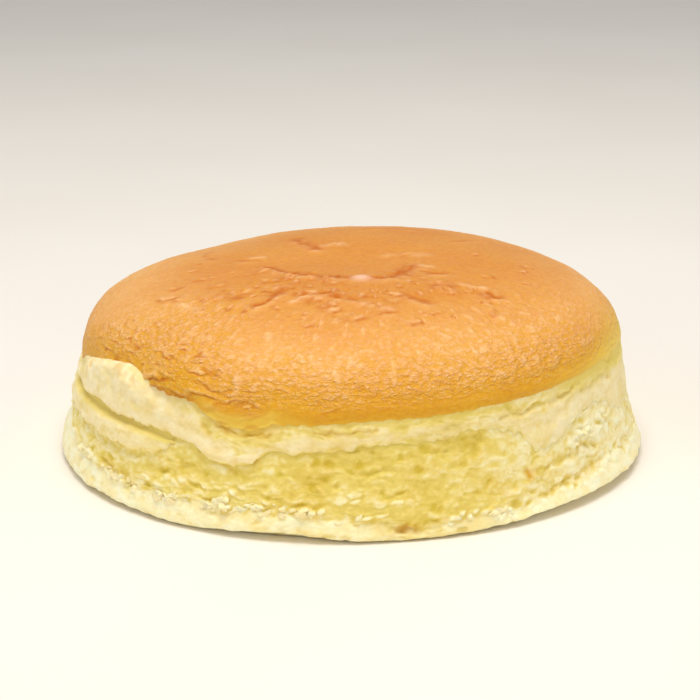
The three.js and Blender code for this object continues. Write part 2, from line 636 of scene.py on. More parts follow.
@dataclass(frozen=True)
class CrustFinish(Finish):
    """Top crust browned in the oven: dry tan foam skin with a satin sheen and orange-peel pebbles.

    Args:
        edge, rim, shoulder, crown: Browning from the torn edge up to the top; the paler shoulder is partly
            painted light and the darker crown partly painted shade.
        valley: Golden skin between two pebbles.
        crease: Painted shade, dark orange-brown, in the cracks and under the edges of flakes and blisters.
        light: Painted highlight on pebble tops, fine grain, flakes, puckers and ridges.
        blister: Pale pink painted highlight of the blister in the dimple.
        faded, bare: Skin that hardly browned.
        oven, speckle: Faint tints over the whole, of uneven heat and of browned bubbles.
        oven_mm, bubble_mm: Sizes of those tints' patterns.
        grain_mm, fine_mm: Grain that is finer than a pebble.
        pebble_mm: Width of a pebble.
        bend_mm: How far the pebbles' pattern is pushed about.
        flat: Height of the patterns as a share of their width.
    """

    name: str = "egg_sponge_crust_browned"
    roughness: float = 0.45
    scatter_weight: float = 0.15
    scatter_mm: tuple[float, float, float] = (0.8, 0.5, 0.2)
    ior: float = 1.45
    specular: float = 0.22
    edge: str = "#e2ae24"
    rim: str = "#e0a92c"
    shoulder: str = "#ebb26d"
    crown: str = "#d9933f"
    valley: str = "#de9e1c"
    crease: str = "#c26a14"
    light: str = "#ffd8a8"
    blister: str = "#f8cdb2"
    faded: str = "#e6bc44"
    bare: str = "#eccc56"
    oven: str = "#f3dab4"
    speckle: str = "#ecd2a4"
    oven_mm: float = 24.0
    bubble_mm: float = 1.6
    grain_mm: float = 0.8
    fine_mm: float = 0.45
    pebble_mm: float = 1.4
    bend_mm: float = 2.4
    flat: float = 0.55

    def paint(self, tree: bpy.types.NodeTree) -> tuple[Socket, Socket | None]:
        """Build the pattern."""
        place = self.place(tree, self.flat)
        climb, peel, faded, crease, lit, blister = (
            add_node(tree, "ShaderNodeAttribute", {"attribute_name": name}).outputs["Fac"]
            for name in ("climb", "peel", "faded", "crease", "lit", "blister")
        )
        oven, bubbles, grain, fine = (
            add_node(
                tree, "ShaderNodeTexNoise", Vector=place, Scale=1.0 / size, Detail=self.detail,
            ).outputs["Fac"]
            for size in (self.oven_mm, self.bubble_mm, self.grain_mm, self.fine_mm)
        )
        tans = (self.edge, self.rim, self.shoulder, self.shoulder, self.crown)
        browning = list(zip((0.0, 0.24, 0.5, 0.68, 0.96), tans))
        shares_and_stops = (
            (climb, browning),
            (oven, [(0.35, "#ffffff"), (0.7, self.oven)]),
            (bubbles, [(0.38, self.speckle), (0.6, "#ffffff")]),
            (faded, [(0.35, self.faded), (0.95, self.bare)]),
        )
        browned, patches, speckle, unbrowned = (
            add_node(tree, "ShaderNodeValToRGB", {"stops": stops}, Fac=share).outputs["Color"]
            for share, stops in shares_and_stops
        )
        pebble = self.pebbles(tree, place)
        # Golden valleys between the pebbles; their tops and the finest grain catch the light
        valley, top, glint = (
            add_node(
                tree, "ShaderNodeMapRange", Value=value, From_Min=low, From_Max=high, To_Max=most,
            ).outputs[0]
            for value, low, high, most in (
                (pebble, 0.34, 0.72, 0.9), (pebble, 0.35, 0.1, 0.4), (fine, 0.6, 0.72, 0.6),
            )
        )
        valley_share, top_share, glint_share = (
            add_node(tree, "ShaderNodeMath", {"operation": "MULTIPLY"}, at_0=share, at_1=peel).outputs[0]
            for share in (valley, top, glint)
        )
        # Over the browning lie painted highlights on pebble tops, fine grain and edges, painted shade in the
        # creases, and the blister's painted highlight
        colour = self.coats(
            tree, browned,
            (0.5, patches, "MULTIPLY"), (0.35, speckle, "MULTIPLY"),
            (valley_share, self.valley, "MIX"), (top_share, self.light, "MIX"),
            (glint_share, self.light, "MIX"),
            (faded, unbrowned, "MIX"), (lit, self.light, "MIX"), (crease, self.crease, "MIX"),
            (blister, self.blister, "MIX"),
        )
        domes = add_node(tree, "ShaderNodeMath", {"operation": "SUBTRACT"}, at_0=1.0, at_1=pebble).outputs[0]
        return colour, self.bumps(tree, (domes, 0.45, peel), (grain, 0.22, 0.4), (fine, 0.1, 0.35))

    def pebbles(self, tree: bpy.types.NodeTree, place: Socket) -> Socket:
        """Orange-peel pebbles of uneven outline.

        Args:
            tree: The material's node tree.
            place: Output of the coordinates in mm.

        Returns:
            Output of the distance to the middle of the pebble, in pebble widths.
        """
        pitch, reach = 1.0 / self.pebble_mm, (self.bend_mm,) * 3
        drift = add_node(tree, "ShaderNodeTexNoise", Vector=place, Scale=pitch).outputs["Color"]
        settings = {"operation": "MULTIPLY_ADD"}
        bent = add_node(tree, "ShaderNodeVectorMath", settings, at_0=drift, at_1=reach, at_2=place)
        bent = bent.outputs["Vector"]
        return add_node(tree, "ShaderNodeTexVoronoi", Vector=bent, Scale=pitch).outputs["Distance"]


@dataclass(frozen=True)
class FloorFinish(Finish):
    """Plain pale table top under the cake, dull enough to throw soft light back at its side."""

    name: str = "table_top_pale_matt"
    roughness: float = 0.6
    colour: str = "#f1ece4"
    paler: str = "#f5f1ea"
    cloud_mm: float = 180.0

    def paint(self, tree: bpy.types.NodeTree) -> tuple[Socket, Socket | None]:
        """Build the pattern."""
        place = self.place(tree)
        cloud = add_node(
            tree, "ShaderNodeTexNoise", Vector=place, Scale=1.0 / self.cloud_mm, Detail=self.detail,
        ).outputs["Fac"]
        stops = [(0.3, self.colour), (0.7, self.paler)]
        return add_node(tree, "ShaderNodeValToRGB", {"stops": stops}, Fac=cloud).outputs["Color"], None


# --------------------------------
# The cake
# --------------------------------

@dataclass(frozen=True)
class Outline:
    """The cake's outline before its folds. Its driving sizes are the foot's radius and the height.

    Args:
        foot_radius: Half the width of the skirt.
        height: From the foot to the highest ring of the crown.
        tin_share: The crust's radius as a share of the foot's.
        equator_share: Share of the height at which the dome starts to turn inwards.
        dome_over: How far the dome would rise over the height without its dimple.
        flare_share: Share of the height up to which the side has spread outwards.
        across_power, up_power: Exponents of the dome's outline; 2 and 2 make an ellipse.
        dimple_depth, dimple_radius: Size of the hollow in the crown.
        tilt: Rise of the crown for each mm towards +X.
        skirt_spread: How far the skirt stands out over the tin's radius.
        crust_spread: How far the crust does.
        shoulder_lift: How much higher the shoulder is than on a regular dome.
    """

    foot_radius: float
    height: float
    tin_share: float = 0.927
    equator_share: float = 0.51
    dome_over: float = 0.6
    flare_share: float = 0.588
    across_power: float = 2.3
    up_power: float = 3.2
    dimple_depth: float = 1.6
    dimple_radius: float = 17.0
    tilt: float = 0.02
    skirt_spread: Course = course(
        (-150, 5.4), (-110, 5.0), (-70, 5.4), (-35, 5.9), (0, 5.7), (40, 6.0), (80, 7.0), (120, 5.5),
        (165, 6.0),
    )
    crust_spread: Course = course(
        (-150, 0.1), (-115, -0.9), (-85, -2.0), (-55, -0.9), (-25, 0.2), (10, 0.5), (60, 0.4), (85, 0.8),
        (130, 0.1), (170, 0.4),
    )
    shoulder_lift: Course = course(
        (-165, 0.4), (-140, -1.2), (-115, -0.5), (-80, -0.8), (-40, 0.2), (0, 0.2), (40, -0.2), (80, 0.1),
        (110, 0.2), (145, 0.6), (170, 0.8),
    )

    @property
    def tin_radius(self) -> float:
        """Radius of the crust, which keeps about the tin's width."""
        return self.foot_radius * self.tin_share

    @property
    def equator(self) -> float:
        """Height at which the dome starts to turn inwards."""
        return self.height * self.equator_share

    @property
    def rise(self) -> float:
        """Height of the dome over its equator, before the dimple sinks in."""
        return self.height + self.dome_over - self.equator

    def centre(self) -> tuple[float, float]:
        """Middle of the skirt's outline, which stands at the origin."""
        azimuth = np.linspace(0.0, TURN, 720)
        radius = self.tin_radius + self.skirt_spread.at(azimuth)
        across, deep = radius * np.sin(azimuth), -radius * np.cos(azimuth)
        return (across.max() + across.min()) / 2.0, (deep.max() + deep.min()) / 2.0

    def dome_share(self, height: Array) -> Array:
        """Share of the dome's rise at a height: 0 up to the equator, 1 at the crown."""
        return np.clip((height - self.equator) / self.rise, 0.0, 1.0)

    def wall(self, azimuth: Array, height: Array) -> Array:
        """Radius of the side: spread at the skirt, upright above it, turning in with the dome.

        Args:
            azimuth: Angles in radians.
            height: Heights in mm.

        Returns:
            Radii in mm.
        """
        share = self.dome_share(height)
        dome = self.tin_radius * (1.0 - share ** self.up_power) ** (1.0 / self.across_power)
        upright = ease(0.0, self.height * self.flare_share, height)
        return dome + blend(self.skirt_spread.at(azimuth), self.crust_spread.at(azimuth), upright)

    def stations(self, azimuth: Array, steps: list[tuple[Any, Any]]) -> Array:
        """Profile stations from steps of (distance out from the wall, height) in mm.

        Args:
            azimuth: Angles in radians.
            steps: Numbers or one value for each angle.

        Returns:
            (radius, height), shape (stations, columns, 2).
        """
        rows = []
        for out, height in steps:
            level = height + np.zeros_like(azimuth)
            rows.append(np.stack([self.wall(azimuth, level) + out, level], axis=-1))
        return np.stack(rows)

    def crown(self, azimuth: Array, edge: Array, share: Array) -> tuple[Array, Array]:
        """Radius and height over shoulder and crown.

        Args:
            azimuth: Angles in radians.
            edge: Height of the crust's edge at each angle.
            share: 0 at the edge, 1 on the axis.

        Returns:
            Radii and heights in mm.
        """
        start = np.arcsin(self.dome_share(edge) ** (self.up_power / 2.0))
        turn = blend(start, math.pi / 2.0, share)
        width = self.tin_radius + self.crust_spread.at(azimuth)
        radius = width * np.maximum(np.cos(turn), 0.0) ** (2.0 / self.across_power)
        rise = self.rise * np.sin(turn) ** (2.0 / self.up_power)
        lift = self.shoulder_lift.at(azimuth) * radius / width + self.tilt * radius * np.sin(azimuth)
        dimple = self.dimple_depth * np.exp(-((radius / self.dimple_radius) ** 2))
        return radius, self.equator + rise + lift * np.sin(math.pi * share) - dimple

    def place(self, radius: Array, azimuth: Array, height: Array) -> Array:
        """Points in mm, with the middle of the skirt at the origin."""
        across, deep = self.centre()
        radius, azimuth, height = np.broadcast_arrays(radius, azimuth, height)
        x, y = radius * np.sin(azimuth) - across, -radius * np.cos(azimuth) - deep
        return np.stack([x, y, height], axis=-1)

    def unrolled(self, azimuth: Array, height: Array) -> Array:
        """Side laid flat: (distance from the front round the tin, height) in mm."""
        across = np.radians(degrees_of(azimuth)) * self.tin_radius
        across, height = np.broadcast_arrays(across, height)
        return np.stack([across, height], axis=-1)

    def on_side(self, marks: tuple[Mark, ...]) -> tuple[Mark, ...]:
        """Marks whose lines are given by (azimuth in degrees, height), laid on the unrolled side."""
        laid = []
        for mark in marks:
            line = tuple((math.radians(angle) * self.tin_radius, height) for angle, height in mark.line)
            laid.append(replace(mark, line=line))
        return tuple(laid)


@dataclass(frozen=True)
class Edges:
    """Where one layer of the side ends and the next shows.

    Args:
        foot_lift: Height of the skirt's lower edge.
        skirt_top: Height at which the skirt turns into open crumb.
        lower_lip: Lowest line of the lower fold.
        upper_lip: Lowest line of the upper fold.
        lip_blunt: How thick that lip is: 1 for a roll, 0 for a film that feathers into the crumb.
        crust_edge: Lower edge of the browned crust.
        foam_lightness: How much paler than egg yellow the foam is.
    """

    foot_lift: Course = course(
        (-160, 0.9), (-115, 1.4), (-80, 1.0), (-50, 1.1), (-30, 0.6), (-22, 1.4), (-14, 2.0), (-5, 1.6),
        (2, 0.7), (12, 0.5), (25, 0.8), (40, 1.9), (65, 2.1), (95, 1.1), (135, 1.5), (170, 0.8),
    )
    skirt_top: Course = course(
        (-150, 7.5), (-120, 6.4), (-100, 10.6), (-85, 12.5), (-74, 10.6), (-65, 8.4), (-55, 7.2),
        (-45, 6.6), (-35, 6.4), (-20, 7.0), (-8, 6.8), (0, 6.0), (6, 5.0), (12, 2.8), (18, 3.6), (26, 4.8),
        (34, 4.2), (42, 5.0), (52, 5.9), (62, 6.7), (75, 7.4), (90, 6.6), (110, 8.0), (135, 5.5),
        (158, 6.6), (180, 6.0),
    )
    lower_lip: Course = course(
        (-160, 17.4), (-130, 16.4), (-100, 15.7), (-80, 15.5), (-65, 15.8), (-58, 15.9), (-50, 15.1),
        (-44, 15.4), (-39, 16.4), (-34, 18.4), (-20, 19.0), (60, 19.0), (95, 17.4), (118, 15.6),
        (140, 16.6), (170, 18.6),
    )
    upper_lip: Course = course(
        (-165, 24.0), (-145, 23.5), (-125, 22.6), (-105, 22.4), (-85, 22.0), (-70, 22.2), (-55, 22.3),
        (-42, 22.0), (-37, 21.2), (-31, 20.4), (-28, 18.4), (-24, 16.9), (-20, 16.9), (-17, 18.4),
        (-14, 20.8), (-10, 20.7), (-5, 21.0), (0, 21.4), (5, 22.2), (10, 22.5), (15, 21.8), (21, 22.4),
        (27, 22.8), (33, 19.6), (38, 15.6), (43, 14.2), (48, 17.2), (53, 19.4), (58, 19.6), (64, 17.6),
        (70, 15.2), (77, 14.6), (90, 19.5), (110, 22.0), (130, 20.6), (150, 22.4), (172, 24.0),
    )
    lip_blunt: Course = course(
        (-175, 0.6), (-150, 0.9), (-120, 1), (-80, 1), (-60, 1), (-40, 1), (-25, 0.9), (-10, 0.6),
        (5, 0.45), (14, 0.3), (22, 0.1), (32, 0), (50, 0), (65, 0), (80, 0.1), (95, 0.8), (110, 1),
        (135, 0.9), (160, 0.6),
    )
    crust_edge: Course = course(
        (-160, 30.5), (-140, 31.0), (-120, 29.6), (-102, 26.8), (-88, 24.8), (-80, 25.4), (-74, 27.8),
        (-66, 30.2), (-58, 31.6), (-50, 32.8), (-45, 33.4), (-41, 32.7), (-37, 31.8), (-32, 31.6),
        (-29, 31.2), (-27, 28.8), (-24.5, 27.2), (-20, 26.6), (-15, 27.2), (-11, 28.4), (-5, 28.6),
        (0, 29.2), (10, 29.9), (20, 30.2), (30, 30.5), (40, 30.8), (50, 31.0), (62, 31.2), (72, 30.8),
        (85, 29.8), (100, 28.8), (120, 28.7), (140, 30.0), (165, 30.9),
    )
    foam_lightness: Course = course(
        (-150, 0.05), (-90, 0.08), (-60, 0.08), (-48, 0.06), (-32, 0.0), (-12, -0.08), (8, -0.1),
        (25, 0.0), (38, 0.16), (50, 0.24), (62, 0.24), (90, 0.12), (140, 0.0),
    )


@dataclass(frozen=True)
class Foam:
    """Relief of the baked foam: torn crumb in one place, soft skin in another.

    Args:
        seed: Number that picks the pattern.
        broad, shred, grain, fine: Level and upright size in mm of the crumb's relief, from coarse to fine.
        block: The same for the cells that torn chips and pits fill.
        dent, tear, bubble: The same for the skin's soft dents, small tears and burst bubbles.
    """

    seed: int
    broad: tuple[float, float] = (12.0, 7.0)
    shred: tuple[float, float] = (4.0, 1.4)
    grain: tuple[float, float] = (1.55, 0.95)
    fine: tuple[float, float] = (0.85, 0.7)
    block: tuple[float, float] = (3.1, 1.7)
    dent: tuple[float, float] = (12.0, 6.0)
    tear: tuple[float, float] = (3.6, 1.7)
    bubble: tuple[float, float] = (3.0, 2.0)

    def crumb(self, points: Array, coarse: Array) -> tuple[Array, Array]:
        """Torn open crumb.

        Args:
            points: Places in mm.
            coarse: Share of large torn chips at each point.

        Returns:
            Height in mm, and tone from 0 in a hollow to 1 on a tip: painted shade in hollows and pits,
            painted light on tips and chips.
        """
        torn = warp(points, 4.0, 1.2, self.seed)
        broad = layered(points, *self.broad, self.seed + 10, 2)
        shreds = Grain(*self.shred, self.seed + 20).smooth(torn)
        distance, _, _ = Grain(*self.grain, self.seed + 30).cells(torn)
        grains = 0.6 - np.minimum(distance, 1.1)
        fine = Grain(*self.fine, self.seed + 40).smooth(points)
        distance, gap, own = Grain(*self.block, self.seed + 50).cells(torn)
        block = ease(0.0, 0.35, gap) * ease(1.0, 0.35, distance)
        chip = ease(0.4, 0.8, own) * block
        pit = ease(0.2, 0.08, own) * block
        height = 0.24 * broad + 0.22 * shreds + (0.19 + 0.2 * coarse) * grains + 0.07 * fine
        height += 1.3 * coarse * chip - (0.26 + 0.2 * coarse) * pit
        # The tone follows the height: painted shade in hollows and pits, painted light on tips and raised
        # chips
        tone = 0.46 + 0.07 * broad + 0.22 * shreds + 0.3 * grains
        tone += (0.12 + 0.85 * coarse) * chip - 0.26 * pit
        return height, tone

    def skin(self, points: Array) -> Array:
        """Height in mm of the skin's soft dents, small tears and few burst bubbles."""
        dents = 0.36 * layered(points, *self.dent, self.seed + 60, 3)
        torn = 0.16 * layered(points, *self.tear, self.seed + 70, 2)
        distance, _, own = Grain(*self.bubble, self.seed + 80).cells(points)
        return dents + torn - 0.26 * ease(0.84, 0.9, own) * ease(0.7, 0.2, distance)


def finish_piece(mesh: bpy.types.Mesh, material: bpy.types.Material) -> bpy.types.Object:
    """Turn a mesh into a piece of the cake that stands for the CAD solid.

    Args:
        mesh: The closed mesh.
        material: Its finish.

    Returns:
        The piece.
    """
    piece = bpy.data.objects.new(mesh.name, mesh)
    bpy.context.scene.collection.objects.link(piece)
    mesh.materials.clear()
    mesh.materials.append(material)
    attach(piece, "root")
    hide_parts(NODE)
    triangles = sum(len(polygon.vertices) - 2 for polygon in mesh.polygons)
    LOG.info("%s: %d triangles", piece.name, triangles)
    return piece


def azimuths(columns: int) -> Array:
    """Even angles round the cake in radians."""
    return np.arange(columns) / columns * TURN


@dataclass(frozen=True)
class ChipPatch:
    """A place on the side where the crumb is torn to large chips, with its azimuth in degrees."""

    azimuth: float
    height: float
    half_degrees: float
    half_height: float
    most: float

    def share(self, azimuth: Array, height: Array) -> Array:
        """Share of chips at angles in radians and heights in mm."""
        across = degrees_of(azimuth - math.radians(self.azimuth)) / self.half_degrees
        up = (height - self.height) / self.half_height
        return self.most * np.exp(-(across ** 2 + up ** 2))


@dataclass
class Sponge:
    """The cake's body: its flared foot of pale skin, and the torn crumb up to the folds that hide the rest.

    Args:
        outline: The cake's outline.
        edges: Where the layers end.
        foam: Relief of the crumb.
        columns: Points round the cake.
        counts: Rows in each stretch of the profile.
        recess: How far the crumb lies behind the outline, in mm.
        tuck: How much deeper it lies under a fold.
        foot_inset: How far the resting face stays inside the skirt's edge.
        film_reach: How much higher the crumb still shows under a film than under a roll.
        skirt_share: How pale and smooth the skirt is.
        skirt_proud: How far the skirt stands out over the outline.
        chip_share: Share of torn chips along the skirt's upper edge.
        chip_patches: Other places with torn chips.
        marks: Dents, humps and stains, on lines of (azimuth in degrees, height).
    """

    outline: Outline
    edges: Edges
    foam: Foam = Foam(20)
    columns: int = 1080
    counts: tuple[int, ...] = (2, 2, 4, 4, 4, 4, 24, 24, 8, 3, 1, 1)
    recess: float = 0.8
    tuck: float = 0.6
    foot_inset: float = 5.0
    film_reach: float = 5.0
    skirt_share: Course = course(
        (-150, 0.7), (-110, 0.95), (-80, 1.0), (-62, 1.0), (-50, 0.92), (-35, 0.86), (-18, 0.88),
        (-6, 0.8), (4, 0.68), (12, 0.5), (22, 0.6), (32, 0.75), (42, 1.0), (60, 1.0), (90, 0.95),
        (120, 0.8), (170, 0.7),
    )
    skirt_proud: Course = course(
        (-150, 0.1), (-110, -0.2), (-80, -0.5), (-50, -0.1), (-30, 0.0), (-12, 0.1), (0, 0.0), (12, -0.3),
        (22, -0.1), (38, 0.4), (55, 0.7), (75, 0.4), (95, 0.0), (145, 0.2), (175, 0.1),
    )
    chip_share: Course = course(
        (-150, 0.5), (-110, 0.4), (-80, 0.3), (-65, 0.6), (-50, 0.9), (-35, 1.0), (-15, 1.0), (-2, 0.8),
        (8, 0.5), (16, 0.4), (26, 0.8), (34, 0.3), (45, 0.2), (60, 0.3), (90, 0.4), (130, 0.7), (170, 0.6),
    )
    chip_patches: tuple[ChipPatch, ...] = (
        ChipPatch(52.0, 16.2, 5.0, 2.4, 1.0),
        ChipPatch(61.0, 18.0, 4.0, 2.0, 0.6),
        ChipPatch(-22.0, 11.0, 12.0, 1.6, 0.45),
        ChipPatch(4.0, 10.5, 8.0, 1.6, 0.4),
        ChipPatch(24.0, 9.0, 8.0, 2.0, 0.35),
        ChipPatch(140.0, 13.0, 12.0, 2.6, 0.6),
        ChipPatch(-140.0, 14.0, 14.0, 2.4, 0.6),
    )
    marks: tuple[Mark, ...] = (
        Mark(((10, 3.3), (12, 3.1)), -1.7, 1.2, 1.0),
        Mark(((22, 23.0), (27, 22.6)), -1.0, 1.3),
        Mark(((17, 21.0), (25, 20.4)), -0.6, 1.1),
        Mark(((36.2, 11.8),), -0.4, 1.2, 1.6),
        Mark(((-40, 12.6), (-33, 12.2)), -0.6, 1.3),
        Mark(((-33, 15.0), (-27, 14.4)), -0.8, 1.3),
        Mark(((-54, 9.6), (-50, 8.6), (-46, 8.8)), -0.8, 1.2, 0.25),
        Mark(((-8, 14.0), (-2, 14.4)), -0.6, 0.9),
        Mark(((2, 17.4), (8, 17.0)), -0.6, 0.9),
        Mark(((-6, 18.8), (6, 20.0)), -0.5, 1.0, 0.1),
        Mark(((40, 6.6), (48, 8.0), (58, 9.0)), -0.7, 1.0, 0.15),
        Mark(((39, 10.0), (42, 13.0), (50, 14.2), (56, 13.4)), -0.8, 1.0, 0.1),
        Mark(((27, 6.0), (33, 8.4), (37, 11.0)), 0.5, 1.0),
        Mark(((-34, 20.4), (-30, 20.0)), 0.9, 1.6),
        Mark(((92, 12.0), (101, 11.4)), -1.0, 1.5),
        Mark(((125, 9.4), (133, 8.6)), -1.0, 1.6),
        Mark(((158, 13.2), (170, 12.6)), -0.9, 1.5),
        Mark(((-166, 9.4), (-156, 8.8)), -0.9, 1.3),
        Mark(((-134, 11.4), (-124, 10.8)), -1.0, 1.5),
        Mark(((-106, 12.4), (-101, 11.6)), -0.7, 1.5),
    )

    def covered_at(self, azimuth: Array) -> Array:
        """Height at which the crumb passes under the upper fold."""
        film = 1.0 - self.edges.lip_blunt.at(azimuth)
        return self.edges.upper_lip.at(azimuth) + self.film_reach * film

    def coarseness(self, azimuth: Array, height: Array, skirt_top: Array) -> Array:
        """Share of torn chips: along the skirt's upper edge, and in the patches.

        Args:
            azimuth: Angles in radians.
            height: Heights in mm.
            skirt_top: Height of the skirt's upper edge at each angle.

        Returns:
            Shares from 0 to 1.
        """
        above = height - skirt_top - 0.4
        coarse = self.chip_share.at(azimuth) * np.exp(-((above / 2.0) ** 2))
        return np.maximum.reduce([coarse, *(patch.share(azimuth, height) for patch in self.chip_patches)])

    def profile(self, azimuth: Array, lift: Array, top: Array) -> Array:
        """Rows from the foot's inner edge to the top, which is hidden in the crust.

        Args:
            azimuth: Angles in radians.
            lift: Height of the skirt's lower edge at each angle.
            top: Height of its upper edge.

        Returns:
            (radius, height), shape (rows, columns, 2).
        """
        out = self.skirt_proud.at(azimuth)
        lip = self.edges.upper_lip.at(azimuth)
        covered = self.covered_at(azimuth)
        deep = -self.recess - self.tuck
        steps = [
            # The resting face and the skirt's turned-in underside
            (-self.foot_inset, 0.0),
            (-2.6, lift * 0.7),
            (-1.0, lift + 0.05),
            # The skirt
            (out - 0.1, lift + 0.9),
            (out - 0.3, blend(lift, top, 0.55)),
            (out - 0.8, top - 0.3),
            # The crumb, which lies back from the skin
            (-self.recess, top + 0.9),
            (-self.recess, blend(top, lip, 0.5)),
            (-self.recess - 0.15, covered - 1.4),
            # Hidden behind the folds and in the crust
            (deep, covered + 0.6),
            (deep - 2.0, covered + 3.0),
            (deep - 4.0, np.minimum(covered + 8.0, 34.0)),
            (deep - 8.0, 36.0),
        ]
        return spline(self.outline.stations(azimuth, steps), self.counts)

    def make(self, material: bpy.types.Material) -> bpy.types.Object:
        """Make the piece."""
        azimuth = azimuths(self.columns)
        ring = self.outline.place(self.outline.foot_radius, azimuth, 0.0)
        nicks = layered(ring, 4.0, 4.0, 71, 3)
        ragged = layered(ring, 9.0, 9.0, 75, 4)
        lift = np.maximum(self.edges.foot_lift.at(azimuth) + 0.22 * nicks, 0.12)
        top = np.maximum(self.edges.skirt_top.at(azimuth) + 1.2 * ragged, lift + 1.8)
        side = self.profile(azimuth, lift, top)
        foot, last = side[0, :, 0], side[-1]
        inside = [np.stack([foot * part, np.zeros_like(foot)], axis=-1) for part in (0.02, 0.5, 0.85)]
        above = [np.stack([last[:, 0] * part, last[:, 1] + 1.0], axis=-1) for part in (0.6, 0.02)]
        stacked = np.concatenate([np.stack(inside), side, np.stack(above)])
        radius, height = stacked[..., 0], stacked[..., 1]
        rows = Rows(self.outline.place(radius, azimuth, height), Closing.CAP)

        coarse = self.coarseness(azimuth, height, top)
        bump, tone = self.foam.crumb(rows.points, coarse)
        shredded = height + 0.9 * ragged + 1.8 * layered(rows.points, 3.2, 1.5, 79, 2)
        skin = ease(top + 0.9, top - 0.9, shredded) * self.skirt_share.at(azimuth)
        marked, stain = press(self.outline.on_side(self.marks), self.outline.unrolled(azimuth, height))
        bump = blend(bump, 0.7 * self.foam.skin(rows.points) + 0.7 * bump, skin)
        bump += marked * (0.8 + 0.6 * Grain(2.4, 1.4, 91).smooth(rows.points))
        covered = self.covered_at(azimuth)
        visible = np.clip(height / 1.2, 0.0, 1.0) * ease(covered + 3.0, covered + 0.5, height)
        rows.push(bump * visible)
        # Only the resting face touches the ground
        rows.points[len(inside):, :, 2] = np.maximum(rows.points[len(inside):, :, 2], 0.05)

        lip, blunt = self.edges.upper_lip.at(azimuth), self.edges.lip_blunt.at(azimuth)
        lightness = self.edges.foam_lightness.at(azimuth) * ease(covered + 1.0, covered - 2.0, height)
        # Painted light and shade: relief is darker in dents, skin is less pale where the tone is painted as
        # shade, and shade is painted shade just under the upper fold's lip
        rows.tones = {
            "relief": tone + 0.3 * np.minimum(marked, 0.0) + lightness,
            "skin": skin * (0.5 + 0.5 * ease(0.22, 0.5, tone)),
            "shade": 0.4 * blunt * ease(lip - 1.6, lip + 0.2, height) * (1.0 - skin),
            "warm": stain * 0.8,
            "chips": np.clip(1.8 * coarse - 0.8, 0.0, 1.0) * visible,
        }
        return finish_piece(rows.mesh("sponge_crumb"), material)


